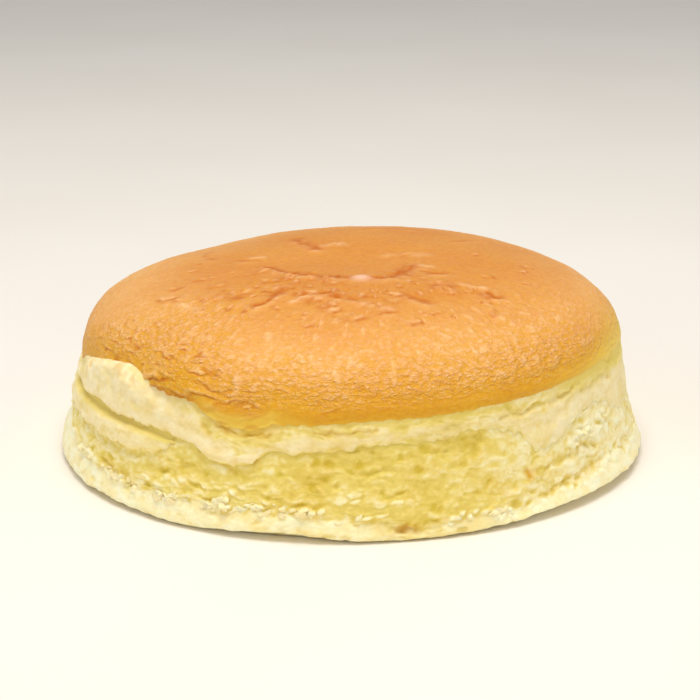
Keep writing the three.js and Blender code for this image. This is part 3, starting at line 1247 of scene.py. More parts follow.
@dataclass
class LooseCrumbs:
    """Torn chips of foam that cling to the crumb, scattered where the carrier's "chips" attribute says.

    Args:
        carrier: The piece that they cling to.
        per_square_mm: Chips on each square millimetre where the attribute is 1.
        smallest: Least half width in mm before the chip is flattened.
        largest: Greatest half width in mm.
        sunk: How deep a chip's middle sits in the crumb, in mm.
        uneven: How far a chip's surface is pushed about, in mm.
        lump: Size of the lumps that this leaves, in mm.
        turn: Largest turns by chance about a chip's axes, in radians.
        flattest, fullest: Least and greatest stretch along its length, width and thickness.
        paleness: The chips' tone, from 0 in a hollow to 1 on a tip.
        seed: Seed of their places.
    """

    carrier: bpy.types.Object
    per_square_mm: float = 0.36
    smallest: float = 0.35
    largest: float = 1.2
    sunk: float = 0.2
    uneven: float = 2.2
    lump: float = 1.5
    turn: tuple[float, float, float] = (0.25, 0.25, 0.5)
    flattest: tuple[float, float, float] = (1.2, 0.6, 0.4)
    fullest: tuple[float, float, float] = (2.3, 1.0, 0.7)
    paleness: float = 0.78
    seed: int = 11

    def inputs(self) -> dict[str, tuple[str, float]]:
        """The tree's named inputs, as socket type and value in metres."""
        return {
            "Chips per square metre": ("NodeSocketFloat", self.per_square_mm / MM ** 2),
            "Smallest": ("NodeSocketFloat", self.smallest * MM),
            "Largest": ("NodeSocketFloat", self.largest * MM),
            "Sunk": ("NodeSocketFloat", -self.sunk * MM),
            "Unevenness": ("NodeSocketFloat", self.uneven * MM),
            "Seed": ("NodeSocketInt", self.seed),
        }

    def turned(self, tree: bpy.types.NodeTree, normal: Socket) -> Socket:
        """Rotation of the chips: flat side on the crumb, long side level, then a little by chance.

        Args:
            tree: The geometry node tree.
            normal: Output of the crumb's normal under each chip.

        Returns:
            Output of the rotation.
        """
        level = add_node(
            tree, "ShaderNodeVectorMath", {"operation": "CROSS_PRODUCT"},
            at_0=(0.0, 0.0, 1.0), at_1=normal,
        ).outputs[0]
        upright = add_node(
            tree, "FunctionNodeAlignRotationToVector", {"axis": "Z"}, Vector=normal,
        ).outputs[0]
        along = add_node(
            tree, "FunctionNodeAlignRotationToVector", {"axis": "X", "pivot_axis": "Z"},
            Rotation=upright, Vector=level,
        ).outputs[0]
        angles = add_node(
            tree, "FunctionNodeRandomValue", {"data_type": "FLOAT_VECTOR"},
            at_0=tuple(-part for part in self.turn), at_1=self.turn, Seed=1,
        ).outputs[0]
        tilt = add_node(tree, "FunctionNodeEulerToRotation", Euler=angles).outputs[0]
        return add_node(
            tree, "FunctionNodeRotateRotation", {"rotation_space": "LOCAL"},
            Rotation=along, Rotate_By=tilt,
        ).outputs[0]

    def sized(self, tree: bpy.types.NodeTree, smallest: Socket, largest: Socket) -> Socket:
        """Scale of the chips: a size and a stretch by chance.

        Args:
            tree: The geometry node tree.
            smallest: Output of the least size.
            largest: Output of the greatest size.

        Returns:
            Output of the scale.
        """
        stretch = add_node(
            tree, "FunctionNodeRandomValue", {"data_type": "FLOAT_VECTOR"},
            at_0=self.flattest, at_1=self.fullest, Seed=2,
        ).outputs[0]
        size = add_node(
            tree, "FunctionNodeRandomValue", {"data_type": "FLOAT"},
            at_2=smallest, at_3=largest, Seed=3,
        ).outputs[1]
        return add_node(
            tree, "ShaderNodeVectorMath", {"operation": "SCALE"}, at_0=stretch, Scale=size,
        ).outputs[0]

    def pushed(self, tree: bpy.types.NodeTree, reach: Socket) -> Socket:
        """Shift of the chips' surface. Each lies elsewhere in the same noise, so no two are alike.

        Args:
            tree: The geometry node tree.
            reach: Output of how far the surface is pushed about.

        Returns:
            Output of the shift.
        """
        place = add_node(tree, "GeometryNodeInputPosition").outputs[0]
        fineness = 1.0 / (self.lump * MM)
        cloud = add_node(tree, "ShaderNodeTexNoise", Vector=place, Scale=fineness, Detail=2.0).outputs
        centred = add_node(
            tree, "ShaderNodeVectorMath", {"operation": "SUBTRACT"},
            at_0=cloud["Color"], at_1=(0.5, 0.5, 0.5),
        ).outputs[0]
        return add_node(
            tree, "ShaderNodeVectorMath", {"operation": "SCALE"}, at_0=centred, Scale=reach,
        ).outputs[0]

    def tree(self, material: bpy.types.Material) -> bpy.types.NodeTree:
        """Build the tree that scatters the chips.

        Args:
            material: The chips' finish.

        Returns:
            The geometry node tree.
        """
        tree = bpy.data.node_groups.new("torn_chips", "GeometryNodeTree")
        for way in ("INPUT", "OUTPUT"):
            tree.interface.new_socket("Geometry", in_out=way, socket_type="NodeSocketGeometry")
        for name, (kind, _) in self.inputs().items():
            tree.interface.new_socket(name, in_out="INPUT", socket_type=kind)
        given = add_node(tree, "NodeGroupInput").outputs
        settings = {"data_type": "FLOAT"}
        share = add_node(tree, "GeometryNodeInputNamedAttribute", settings, Name="chips").outputs[0]
        density = add_node(
            tree, "ShaderNodeMath", {"operation": "MULTIPLY"},
            at_0=share, at_1=given["Chips per square metre"],
        ).outputs[0]
        spots = add_node(
            tree, "GeometryNodeDistributePointsOnFaces",
            Mesh=given["Geometry"], Density=density, Seed=given["Seed"],
        ).outputs
        deep = add_node(
            tree, "ShaderNodeVectorMath", {"operation": "SCALE"}, at_0=spots["Normal"], Scale=given["Sunk"],
        ).outputs[0]
        held = add_node(tree, "GeometryNodeSetPosition", Geometry=spots["Points"], Offset=deep).outputs[0]
        chip = add_node(tree, "GeometryNodeMeshIcoSphere", Radius=1.0, Subdivisions=3).outputs[0]
        scattered = add_node(
            tree, "GeometryNodeInstanceOnPoints", Points=held, Instance=chip,
            Rotation=self.turned(tree, spots["Normal"]),
            Scale=self.sized(tree, given["Smallest"], given["Largest"]),
        ).outputs[0]
        real = add_node(tree, "GeometryNodeRealizeInstances", Geometry=scattered).outputs[0]
        push = self.pushed(tree, given["Unevenness"])
        torn = add_node(tree, "GeometryNodeSetPosition", Geometry=real, Offset=push).outputs[0]
        soft = add_node(tree, "GeometryNodeSetShadeSmooth", Geometry=torn).outputs[0]
        tone = add_node(
            tree, "GeometryNodeStoreNamedAttribute", {"data_type": "FLOAT", "domain": "POINT"},
            Geometry=soft, Name="relief", Value=self.paleness,
        ).outputs[0]
        dressed = add_node(tree, "GeometryNodeSetMaterial", Geometry=tone, Material=material).outputs[0]
        add_node(tree, "NodeGroupOutput", Geometry=dressed)
        return tree

    def make(self, material: bpy.types.Material) -> bpy.types.Object:
        """Make the piece."""
        tree = self.tree(material)
        source = bpy.data.objects.new("crumb_scatter", self.carrier.data)
        bpy.context.scene.collection.objects.link(source)
        modifier = source.modifiers.new("torn_chips", "NODES")
        modifier.node_group = tree
        values = self.inputs()
        for socket in tree.interface.items_tree:
            if socket.in_out == "INPUT" and socket.name in values:
                modifier[socket.identifier] = values[socket.name][1]
        graph = bpy.context.evaluated_depsgraph_get()
        mesh = bpy.data.meshes.new_from_object(source.evaluated_get(graph), depsgraph=graph)
        mesh.name = "crumbs_loose"
        source.modifiers.clear()
        bpy.data.objects.remove(source)
        return finish_piece(mesh, material)


@dataclass
class Fold:
    """A ring of pale skin that slumped as the cake settled, pillowy with a rounded lip at its lower edge.

    Args:
        outline: The cake's outline.
        lip: Height of the lip's lowest line.
        top: Height at which the skin passes under what lies above.
        blunt: How thick the lip is: 1 for a roll, 0 for a film that feathers into the crumb.
        lightness: How much paler than egg yellow the foam of a film is.
        name: Piece name.
        foam: Relief of the skin.
        proud: How far the face stands out over the outline; below zero it sinks into the sponge.
        skin_share: How pale and smooth the face is; 0 for open crumb.
        marks: Dents, humps and stains, on lines of (azimuth in degrees, height).
        sag: Share of the bulge left three quarters up.
        tuck: Distance out from the wall just under the top.
        ragged: How far the lip wanders up and down, in mm.
        recess: How far a film's face lies behind the outline.
        depth: How far the hidden back does.
        columns: Points round the cake.
        counts: Rows in each stretch of the profile.
    """

    outline: Outline
    lip: Course
    top: Course
    blunt: Course = steady(1.0)
    lightness: Course = steady(0.0)
    name: str = "fold_of_skin"
    foam: Foam = Foam(220)
    proud: Course = steady(0.5)
    skin_share: Course = steady(1.0)
    marks: tuple[Mark, ...] = ()
    sag: float = 0.6
    tuck: float = 0.0
    ragged: float = 0.7
    recess: float = 0.9
    depth: float = 6.5
    columns: int = 1320
    counts: tuple[int, ...] = (2, 5, 6, 14, 14, 9, 5, 3)

    def free_share(self, azimuth: Array) -> Array:
        """Share of the top edge that stands free in front of the crust; none on this fold."""
        return np.zeros_like(azimuth)

    def free_top(self, azimuth: Array) -> Array:
        """Height of the free top edge."""
        return self.top.at(azimuth)

    def paleness(self, azimuth: Array, height: Array, top: Array, patch: Array) -> Array:
        """Share of the skin's paleness that is left below the top; all of it on this fold."""
        return np.ones_like(height)

    def crease_shade(self, azimuth: Array, height: Array, top: Array) -> Array:
        """Painted shade, in egg yellow, where the face runs back under what lies above."""
        return 0.8 * ease(top - 2.4, top - 0.8, height)

    def warmth(self, azimuth: Array, height: Array, top: Array) -> Array:
        """Browned share of the skin; none on this fold."""
        return np.zeros_like(height)

    def torn_lip(self, azimuth: Array) -> Array:
        """Height of the lip at each angle: a film's is more ragged than a roll's."""
        lip = self.lip.at(azimuth)
        middle = self.outline.place(self.outline.tin_radius, azimuth, lip)
        torn = layered(middle, 7.0, 7.0, self.foam.seed + 90, 4)
        torn += 1.4 * np.abs(Grain(2.8, 2.8, self.foam.seed + 98).smooth(middle))
        return lip + self.ragged * torn * blend(1.6, 1.0, self.blunt.at(azimuth))

    def section(self, azimuth: Array, lip: Array, top: Array) -> Array:
        """Rows round the fold's section, from behind the lip over the face to the hidden back.

        Args:
            azimuth: Angles in radians.
            lip: Height of the lip at each angle.
            top: Height of the top.

        Returns:
            (radius, height), shape (rows, columns, 2).
        """
        proud = self.proud.at(azimuth)
        blunt = self.blunt.at(azimuth)
        free = self.free_share(azimuth)
        crest = blend(top, self.free_top(azimuth), free)
        sunk = -self.recess
        tucked = self.tuck + np.minimum(proud, 0.0)
        sagged = np.minimum(proud, proud * self.sag)
        steps = [
            # Behind the lip and round it
            (-self.depth, lip + 2.6),
            (blend(sunk - 3.0, proud - 3.4, blunt), lip + 1.7),
            (blend(sunk - 1.2, proud - 1.5, blunt), lip + 0.05),
            (blend(sunk - 0.35, proud * 0.8 - 0.1, blunt), lip + blend(1.2, 1.0, blunt)),
            # The face, which bulges low in a roll and high in a film
            (blend(proud * 0.6, proud, blunt), blend(lip, crest, blend(0.62, 0.4, blunt))),
            (blend(sagged, proud * 0.85, free), blend(lip, crest, blend(0.85, 0.75, blunt))),
            # Back under what lies above, or over the free top edge
            (blend(tucked, proud * 0.35, free), crest - 0.6),
            (blend(tucked - 0.2, -0.7, free), blend(crest + 1.6, crest + 0.1, free)),
            (blend(-2.8, -3.0, free), blend(crest + 3.0, crest - 0.4, free)),
        ]
        side = spline(self.outline.stations(azimuth, steps), self.counts)
        first, last = side[0], side[-1]
        back_top = np.stack([first[:, 0], last[:, 1] - 0.5], axis=-1)
        back = np.stack([first[:, 0], blend(last[:, 1], first[:, 1], 0.5)], axis=-1)
        return np.concatenate([side, back_top[None], back[None]])

    def make(self, material: bpy.types.Material) -> bpy.types.Object:
        """Make the piece."""
        azimuth = azimuths(self.columns)
        blunt = self.blunt.at(azimuth)
        lip = self.torn_lip(azimuth)
        top = np.maximum(self.top.at(azimuth), lip + 2.5)
        stacked = self.section(azimuth, lip, top)
        radius, height = stacked[..., 0], stacked[..., 1]
        rows = Rows(self.outline.place(radius, azimuth, height), Closing.RING)

        # The rows behind the lip and at the back stay smooth
        visible = np.ones((len(radius), 1))
        visible[:self.counts[0] + 2] = 0.0
        visible[-4:] = 0.0
        crumb, tone = self.foam.crumb(rows.points, np.zeros_like(height))
        smooth = self.foam.skin(rows.points)
        patch = layered(rows.points, 5.0, 3.0, self.foam.seed + 95, 3)
        above = height - lip
        patched = above + blend(2.2, 1.3, blunt) * patch
        skin = ease(blend(1.4, -1.2, blunt), blend(4.8, 0.9, blunt), patched)
        skin = skin * self.skin_share.at(azimuth) * self.paleness(azimuth, height, top, patch)
        marked, stain = press(self.outline.on_side(self.marks), self.outline.unrolled(azimuth, height))
        bump = blend(0.9 * crumb - blend(0.3, 0.0, blunt), smooth, skin)
        pinched = ease(top - 2.4, top, height) * (1.0 - self.free_share(azimuth))
        rows.push((bump * (1.0 - 0.5 * pinched) + marked) * visible)

        # Painted shade on the lip's rounded underside, in dents and in the crease under what lies above,
        # plus random patches of the same tint; relief is painted lighter on humps and darker in dents
        under = ease(1.3, -0.2, above) * blunt
        band = 0.25 * ease(0.2, 0.8, layered(rows.points, 9.0, 4.0, self.foam.seed + 97, 3))
        shade = 0.35 * under + band - marked * 0.3 + self.crease_shade(azimuth, height, top)
        rows.tones = {
            "relief": tone + 0.3 * marked + self.lightness.at(azimuth) * (1.0 - blunt),
            "skin": skin,
            "shade": np.clip(shade, 0.0, 0.9),
            "warm": stain + self.warmth(azimuth, height, top),
        }
        return finish_piece(rows.mesh(self.name), material)


@dataclass
class LowerFold(Fold):
    """The lower fold: a soft pillow that sinks into the sponge at the front."""

    name: str = "lower_fold_of_skin"
    proud: Course = course(
        (-170, -1.8), (-150, 0.2), (-130, 0.7), (-110, 0.5), (-85, 0.5), (-60, 1.3), (-45, 1.3),
        (-38, 0.7), (-34, -0.6), (-29, -2.2), (0, -2.6), (60, -2.6), (92, -2.0), (103, 0.2), (120, 0.8),
        (138, 0.6), (152, -0.6), (165, -1.8),
    )
    skin_share: Course = course((-170, 0.8), (-90, 0.9), (-50, 0.85), (-38, 0.6), (0, 0.5), (90, 0.8))
    sag: float = 0.93
    tuck: float = -0.5
    columns: int = 1080


@dataclass
class UpperFold(Fold):
    """The upper fold. At the front left it is a free roll in front of the crust, at the right a thin film.

    Args:
        roll_top: Height of the roll's top edge.
        roll: Where the roll stands free.
        front: Where yellow foam shows between crust and skin.
        under_flap: Where more of it shows, under the crust's torn flap.
        torn: Where the flap browned the skin.
        fading: Where the crust's colour fades out over the fold, in a band that is partly painted shade.
    """

    name: str = "upper_fold_of_skin"
    foam: Foam = Foam(320)
    proud: Course = course(
        (-175, 0.3), (-150, 0.5), (-120, 1.0), (-85, 0.7), (-70, 1.0), (-55, 1.3), (-45, 1.3), (-38, 1.0),
        (-30, 0.7), (-22, 0.9), (-15, 0.6), (-5, 0.5), (5, 0.5), (15, 0.35), (22, 0.3), (30, 0.3),
        (40, 0.3), (50, 0.3), (62, 0.3), (75, 0.3), (90, 0.4), (110, 0.9), (130, 0.8), (155, 0.5),
    )
    skin_share: Course = course(
        (-175, 0.7), (-140, 0.9), (-110, 1), (-60, 1), (-35, 0.95), (-20, 0.95), (-8, 0.85), (5, 0.75),
        (15, 0.6), (25, 0.5), (35, 0.6), (48, 0.75), (60, 0.78), (75, 0.8), (95, 0.85), (130, 0.8),
        (155, 0.7),
    )
    marks: tuple[Mark, ...] = (
        Mark(((-54, 34.2), (-51, 33.8)), 0.0, 0.9, 0.4),
        Mark(((-47, 33.4), (-46, 32.4)), -0.2, 0.8, 0.45),
        Mark(((-67, 30.8), (-66, 30.2)), -0.3, 0.8, 0.5),
        Mark(((-60, 29.0), (-50, 28.0), (-44, 27.2)), -0.35, 1.4),
        Mark(((-50.5, 32.4), (-47, 31.2)), 0.6, 2.4),
        Mark(((-58, 32.0), (-55, 30.4)), -0.5, 1.3),
        Mark(((-66, 27.6), (-63, 26.4)), 0.5, 2.6),
        Mark(((-70, 29.0), (-68.5, 27.0)), -0.45, 1.2),
        Mark(((-40, 29.0), (-37, 27.0)), 0.4, 2.2),
        Mark(((-27.5, 26.4), (-26.5, 24.6)), -0.6, 1.0, 0.15),
        Mark(((-25, 26.4), (-19, 25.0), (-14, 25.6)), -0.5, 0.6, 0.35),
        Mark(((-6, 27.2), (0, 26.9), (5, 27.4)), -0.5, 0.6, 0.35),
        Mark(((-6, 28.0), (4, 28.1)), 0.4, 0.6),
        Mark(((19, 27.0), (22, 26.6)), -0.5, 0.8),
        Mark(((24, 23.0), (29, 22.6)), -0.8, 1.2),
        Mark(((31, 27.6), (38, 27.8), (45, 28.6), (52, 29.8)), -0.9, 0.8),
        Mark(((54, 27.4), (60, 28.6), (66, 28.0)), -0.9, 1.3),
        Mark(((66, 31.4), (70, 30.0), (78, 29.0)), -0.8, 1.2),
        Mark(((56, 22.0), (63, 21.4)), -0.4, 1.3),
        Mark(((44, 21.8), (50, 22.6)), 0.4, 1.6),
    )
    roll_top: Course = course(
        (-90, 24.6), (-80, 26.2), (-71, 30.2), (-62, 32.8), (-56, 34.2), (-50, 35.0), (-45, 34.2),
        (-40, 32.4), (0, 32.0),
    )
    roll: Sector = Sector(-75.0, -68.0, -45.0, -40.0)
    front: Sector = Sector(-40.0, -30.0, 40.0, 56.0)
    under_flap: Sector = Sector(-31.0, -25.0, -15.0, -9.0)
    torn: Sector = Sector(-32.0, -26.0, -16.0, -8.0)
    fading: Sector = Sector(40.0, 54.0, 88.0, 104.0)

    def free_share(self, azimuth: Array) -> Array:
        """Share of the top edge that stands free in front of the crust."""
        return self.roll.share(azimuth)

    def free_top(self, azimuth: Array) -> Array:
        """Height of the free top edge."""
        return self.roll_top.at(azimuth)

    def paleness(self, azimuth: Array, height: Array, top: Array, patch: Array) -> Array:
        """Share of the skin's paleness that is left: at the front it turns yellow under the crust."""
        start = top - 2.1 - 2.0 * self.under_flap.share(azimuth) - 2.2 * patch
        return 1.0 - 0.85 * self.front.share(azimuth) * ease(start - 1.5, start + 0.5, height)

    def crease_shade(self, azimuth: Array, height: Array, top: Array) -> Array:
        """Painted shade in egg yellow just under the crust; on the right a wider band where the crust's
        colour fades out, partly the skin's colour and partly painted shade.
        """
        near = 0.3 * (1.0 - self.free_share(azimuth)) * ease(top - 1.6, top, height)
        return near + 0.6 * self.fading.share(azimuth) * ease(top - 4.6, top - 1.6, height)

    def warmth(self, azimuth: Array, height: Array, top: Array) -> Array:
        """Browned share of the skin: a little just below the crust, more where it tore."""
        torn = self.torn.share(azimuth)
        hidden = 1.0 - self.free_share(azimuth)
        return (0.12 + 0.3 * torn) * hidden * ease(top - 1.0 - 2.0 * torn, top + 0.5, height)


@dataclass
class Relief:
    """Relief of the crust: height in mm, and painted shade in its creases and painted light on its edges
    from 0 to 1.
    """

    height: Array
    crease: Array | float = 0.0
    lit: Array | float = 0.0

    def __add__(self, other: "Relief") -> "Relief":
        """Lay another relief over this one: heights add up, and the stronger painted shade and painted light
        show.
        """
        crease = np.maximum(self.crease, other.crease)
        return Relief(self.height + other.height, crease, np.maximum(self.lit, other.lit))


@dataclass(frozen=True)
class Blister:
    """A thin lens of crust that has lifted towards the front.

    Args:
        x, y, half_width, half_depth: Its middle on the dome and its half axes, in mm.
        lift, tilt: How far it has lifted, in mm, and the turn of its axes in radians.
    """

    x: float
    y: float
    half_width: float
    half_depth: float
    lift: float
    tilt: float = 0.0

    def relief(self, points: Array) -> Relief:
        """Relief at points on the dome: a lens with painted shade in a crescent crease at its front and a
        painted highlight just inside it.
        """
        across, deep = points[..., 0] - self.x, points[..., 1] - self.y
        run = (across * math.cos(self.tilt) + deep * math.sin(self.tilt)) / self.half_width
        side = (deep * math.cos(self.tilt) - across * math.sin(self.tilt)) / self.half_depth
        away = np.sqrt(run ** 2 + side ** 2)
        facing = np.clip(0.5 - 0.6 * side / np.maximum(away, 0.2), 0.0, 1.0)
        lens = np.sqrt(np.clip(1.0 - away ** 2, 0.0, 1.0))
        crease = facing ** 3 * np.exp(-(((away - 1.15) / 0.28) ** 2))
        lit = facing ** 2 * np.exp(-(((away - 0.75) / 0.22) ** 2))
        return Relief(self.lift * lens * (0.2 + 0.8 * facing), crease, lit)


@dataclass
class Crust:
    """The browned top: a thick cap whose torn edge overlaps the skin, with a dimple and fine wrinkles.

    Args:
        outline: The cake's outline.
        edges: Where the layers end.
        proud: How far the crust stands out near its edge.
        feather: How far its edge hangs down over the fold where it isn't a torn flap, in mm.
        pucker_stretch: How much the puckers are drawn out down the slope; 1 is round.
        under: Height of the underside, which is hidden in the sponge.
        columns, rows_over: Points round the cake and over the dome.
        creases, ridges: Cracks and welts, on lines of (x, y) on the dome; a crease's stain is its painted
            shade, a ridge's stain its painted highlight.
        rim_ahead: How far in front of a crease the skin is bunched up.
        blister_at, blister_half: Middle and half axes of the blister in the dimple, which is painted pale
            pink as a highlight.
        plates: The larger lifted plates.
        blisters: Number of small blisters besides.
        blister_seed: Seed of their places.
        flap, scaly: Where a shred of crust is torn off the front, and where scales lie beside it.
        thick_lip: Where the torn edge is thick and ragged.
        flaked: Where flakes overlap like scales near the rim.
        fading, far_right: Where the crust hardly browned, and where this climbs up the shoulder.
        facing, near_front: The front, where pebbles and where puckers are strongest.
    """

    outline: Outline
    edges: Edges
    proud: Course = course(
        (-160, 0.3), (-110, 0.2), (-88, -0.4), (-76, -0.5), (-70, -0.9), (-60, -1.4), (-48, -1.3),
        (-43, 0.2), (-38, 0.9), (-28, 0.9), (-20, 0.5), (-10, 0.4), (10, 0.3), (40, 0.1), (70, -0.2),
        (95, 0.1), (140, 0.3),
    )
    feather: float = 1.3
    pucker_stretch: float = 0.55
    under: float = 31.0
    columns: int = 690
    rows_over: int = 124
    creases: tuple[Mark, ...] = (
        Mark(((-23, -6), (-17, -12), (-12, -15), (-7, -18), (-1, -19)), -0.35, 2.2, 1.4),
        Mark(((6, -20), (9, -20), (13, -17), (15, -11), (16, -7)), -0.4, 2.2, 1.5),
        Mark(((-15, 25), (-12, 18), (-9, 13)), -0.3, 2.0, 1.1),
        Mark(((22, -14), (24, -14)), -0.3, 1.9, 1.2),
        Mark(((22, -26), (26, -27)), -0.25, 1.5, 1.1),
        Mark(((35, -28), (36.5, -31), (39, -30)), -0.25, 1.3, 1.1),
        Mark(((15, -34), (17, -37), (20, -38)), -0.3, 1.6, 1.2),
        Mark(((-24, -38), (-21, -35), (-18, -29)), -0.3, 1.7, 1.2),
        Mark(((-6, -33), (-3, -36), (1, -38)), -0.25, 1.4, 1.1),
        Mark(((-30, 3), (-27, 2)), -0.25, 1.4, 0.8),
        Mark(((8, -45), (11, -45.5)), -0.2, 1.0, 0.8),
        Mark(((-38, 8), (-41, 14), (-40, 20)), -0.25, 1.3, 0.6),
        Mark(((30, 22), (34, 26), (40, 27)), -0.25, 1.3, 0.6),
        Mark(((4, 38), (12, 40), (20, 38)), -0.25, 1.3, 0.6),
    )
    ridges: tuple[Mark, ...] = (
        Mark(((-8, 15), (-4, 18), (-1, 17)), 0.3, 1.1, 0.45),
        Mark(((-27, 5), (-24, 4)), 0.25, 1.0, 0.4),
        Mark(((-14, -38), (-10, -35)), 0.4, 1.2, 0.6),
        Mark(((-44, -30), (-41, -34), (-39, -37)), 0.3, 1.0, 0.45),
        Mark(((10, 6), (14, 6), (21, 4)), 0.2, 1.5, 0.25),
        Mark(((17, -6), (21, -8)), 0.35, 1.4, 0.5),
        Mark(((29, -24), (35, -26)), 0.35, 1.2, 0.5),
        Mark(((2, -41), (5, -42)), 0.35, 1.1, 0.5),
        Mark(((7, -43), (10, -44)), 0.3, 1.0, 0.45),
    )
    rim_ahead: float = 2.3
    blister_at: tuple[float, float] = (3.0, -19.5)
    blister_half: tuple[float, float] = (2.6, 3.4)
    plates: tuple[Blister, ...] = (
        Blister(-29.0, -24.0, 3.8, 6.5, 0.4),
        Blister(36.0, -26.0, 3.4, 4.6, 0.4),
        Blister(3.0, -32.5, 3.0, 4.2, 0.35),
        Blister(-19.0, -24.0, 3.6, 5.0, 0.3),
        Blister(12.0, -30.0, 2.8, 4.4, 0.3),
        Blister(24.0, -22.0, 3.4, 4.4, 0.35),
        Blister(-9.0, -29.0, 2.6, 4.0, 0.3),
    )
    blisters: int = 170
    blister_seed: int = 7
    flap: Sector = Sector(-31.0, -26.0, -15.0, -9.0)
    scaly: Sector = Sector(-46.0, -40.0, -33.0, -26.0)
    thick_lip: Sector = Sector(-44.0, -38.0, -14.0, -4.0)
    flaked: Sector = Sector(-80.0, -62.0, -30.0, -8.0)
    fading: Sector = Sector(32.0, 60.0, 88.0, 110.0)
    far_right: Sector = Sector(56.0, 78.0, 95.0, 112.0)
    facing: Sector = Sector(-80.0, -45.0, 45.0, 80.0)
    near_front: Sector = Sector(-75.0, -45.0, 45.0, 75.0)

    def blister_places(self) -> list[Blister]:
        """The larger plates, then small blisters by chance, most of them towards the front."""
        random = np.random.default_rng(self.blister_seed)
        places = list(self.plates)
        for _ in range(self.blisters):
            reach = random.uniform(16.0, 54.0)
            angle = random.normal(-0.05, 0.8)
            size = random.uniform(0.6, 1.5) * (1.9 if random.random() < 0.25 else 1.0)
            lift, tilt = random.uniform(0.25, 0.5), random.uniform(-0.8, 0.8)
            x, y = reach * math.sin(angle), -reach * math.cos(angle)
            places.append(Blister(x, y, size, size * 1.4, lift, tilt))
        return places

    def blistered(self, points: Array) -> Relief:
        """All the lifted plates and small blisters, with painted shade in their creases and painted
        highlights that come and go.
        """
        bent = warp(warp(points, 6.0, 2.2, 131), 2.4, 0.9, 134)
        total = Relief(np.zeros(points.shape[:-1]))
        for blister in self.blister_places():
            total = total + blister.relief(bent)
        broken = np.clip(0.4 + 1.8 * Grain(2.2, 2.2, 137).smooth(points), 0.0, 1.0)
        return Relief(total.height, 0.9 * total.crease * (0.35 + 0.65 * broken), 0.55 * total.lit * broken)

    def belt(self, climb: Array) -> Array:
        """Share of the belt above the edge where the skin is roughest."""
        return ease(15.0, 9.0, climb) * ease(1.5, 5.0, climb)

    def swells(self, points: Array, climb: Array) -> Relief:
        """Soft swells all over, and pebbles in the rough belt."""
        broad = 0.35 * Grain(34.0, 34.0, 101).smooth(points) + 0.2 * layered(points, 12.0, 9.0, 102, 2)
        distance, _, _ = Grain(1.9, 1.0, 106).cells(warp(points, 6.0, 1.4, 111))
        pebbles = 0.24 * self.belt(climb) * (0.55 - np.minimum(distance, 1.0))
        return Relief(broad * ease(0.0, 6.0, climb) + pebbles)

    def puckers(self, points: Array, azimuth: Array, climb: Array) -> Relief:
        """Short puckers that run down the slope of the shoulder, where its skin was drawn together, with
        painted highlights on their crests.
        """
        reach = np.hypot(points[..., 0], points[..., 1])
        down = (points[..., 2] - reach) * self.pucker_stretch
        across = np.broadcast_to(azimuth, down.shape) * self.outline.tin_radius
        laid = np.stack([across, down, np.zeros_like(down)], axis=-1)
        share = ease(40.0, 54.0, reach) * ease(5.0, 9.0, climb)
        share = share * (0.35 + 0.65 * self.near_front.share(azimuth))
        pucker = Grain(2.2, 2.2, 161).smooth(warp(laid, 4.0, 1.6, 163))
        return Relief(0.24 * share * pucker, lit=0.3 * share * ease(0.25, 0.6, pucker))

    def flakes(self, points: Array, pitch: float, size: float, depth: float, share: Array) -> Relief:
        """Thin flakes that overlap like scales, with painted shade under each flake's lower edge and a
        painted highlight just above it.

        Args:
            points: Places on the smooth dome, in mm.
            pitch: Height of a step from flake to flake in mm.
            size: Width of a flake in mm.
            depth: Thickness of its edge in mm.
            share: Strength at each point.

        Returns:
            Their relief.
        """
        phase = points[..., 2] / pitch + 0.75 * layered(points, size, size * 0.5, 140 + int(size), 2)
        step = phase - np.floor(phase)
        broken = 0.35 + 1.3 * Grain(size * 0.8, size * 0.5, 150 + int(size)).smooth(points)
        flake = share * np.clip(broken, 0.0, 1.0)
        height = depth * flake * ((1.0 - step) ** 1.5 * ease(0.0, 0.08, step) - 0.4)
        crease = flake * ease(0.76, 0.92, step) * ease(1.02, 0.97, step)
        return Relief(height, crease, 0.4 * flake * ease(0.02, 0.1, step) * ease(0.34, 0.14, step))

    def cracks(self, flat: Array) -> Relief:
        """The long creases with painted shade in them, the skin bunched up in front of each with a painted
        highlight, and the ridges with painted light along them.
        """
        pressed, stained = press(self.creases, flat)
        raised, ridge_lit = press(self.ridges, flat)
        _, bunched = press(self.creases, flat + np.array([0.0, self.rim_ahead]))
        lit = np.maximum(0.8 * ridge_lit, 0.2 * bunched)
        return Relief(pressed + raised + 0.38 * bunched, 0.95 * stained, lit)

    def dimple_blister(self, points: Array) -> Array:
        """Share of the blister in the dimple, whose pale pink is a painted highlight over a small rise."""
        across = (points[..., 0] - self.blister_at[0]) / self.blister_half[0]
        deep = (points[..., 1] - self.blister_at[1]) / self.blister_half[1]
        return np.exp(-((across ** 2 + deep ** 2) ** 1.5))

    def relief(self, points: Array, azimuth: Array, climb: Array) -> Relief:
        """The whole relief of the crust.

        Args:
            points: Places on the smooth dome, in mm.
            azimuth: Angle of each column.
            climb: Height over the crust's edge.

        Returns:
            Its heights, with painted shade in its creases and painted highlights on its edges.
        """
        left, belt = self.flaked.share(azimuth), self.belt(climb)
        return (
            self.swells(points, climb)
            + self.puckers(points, azimuth, climb)
            + self.flakes(points, 3.3, 9.0, 0.75, left * ease(10.5, 6.0, climb))
            + self.flakes(points, 1.9, 5.0, 0.3, belt * (0.45 + 0.55 * left))
            + self.blistered(points)
            + self.cracks(points[..., :2])
        )

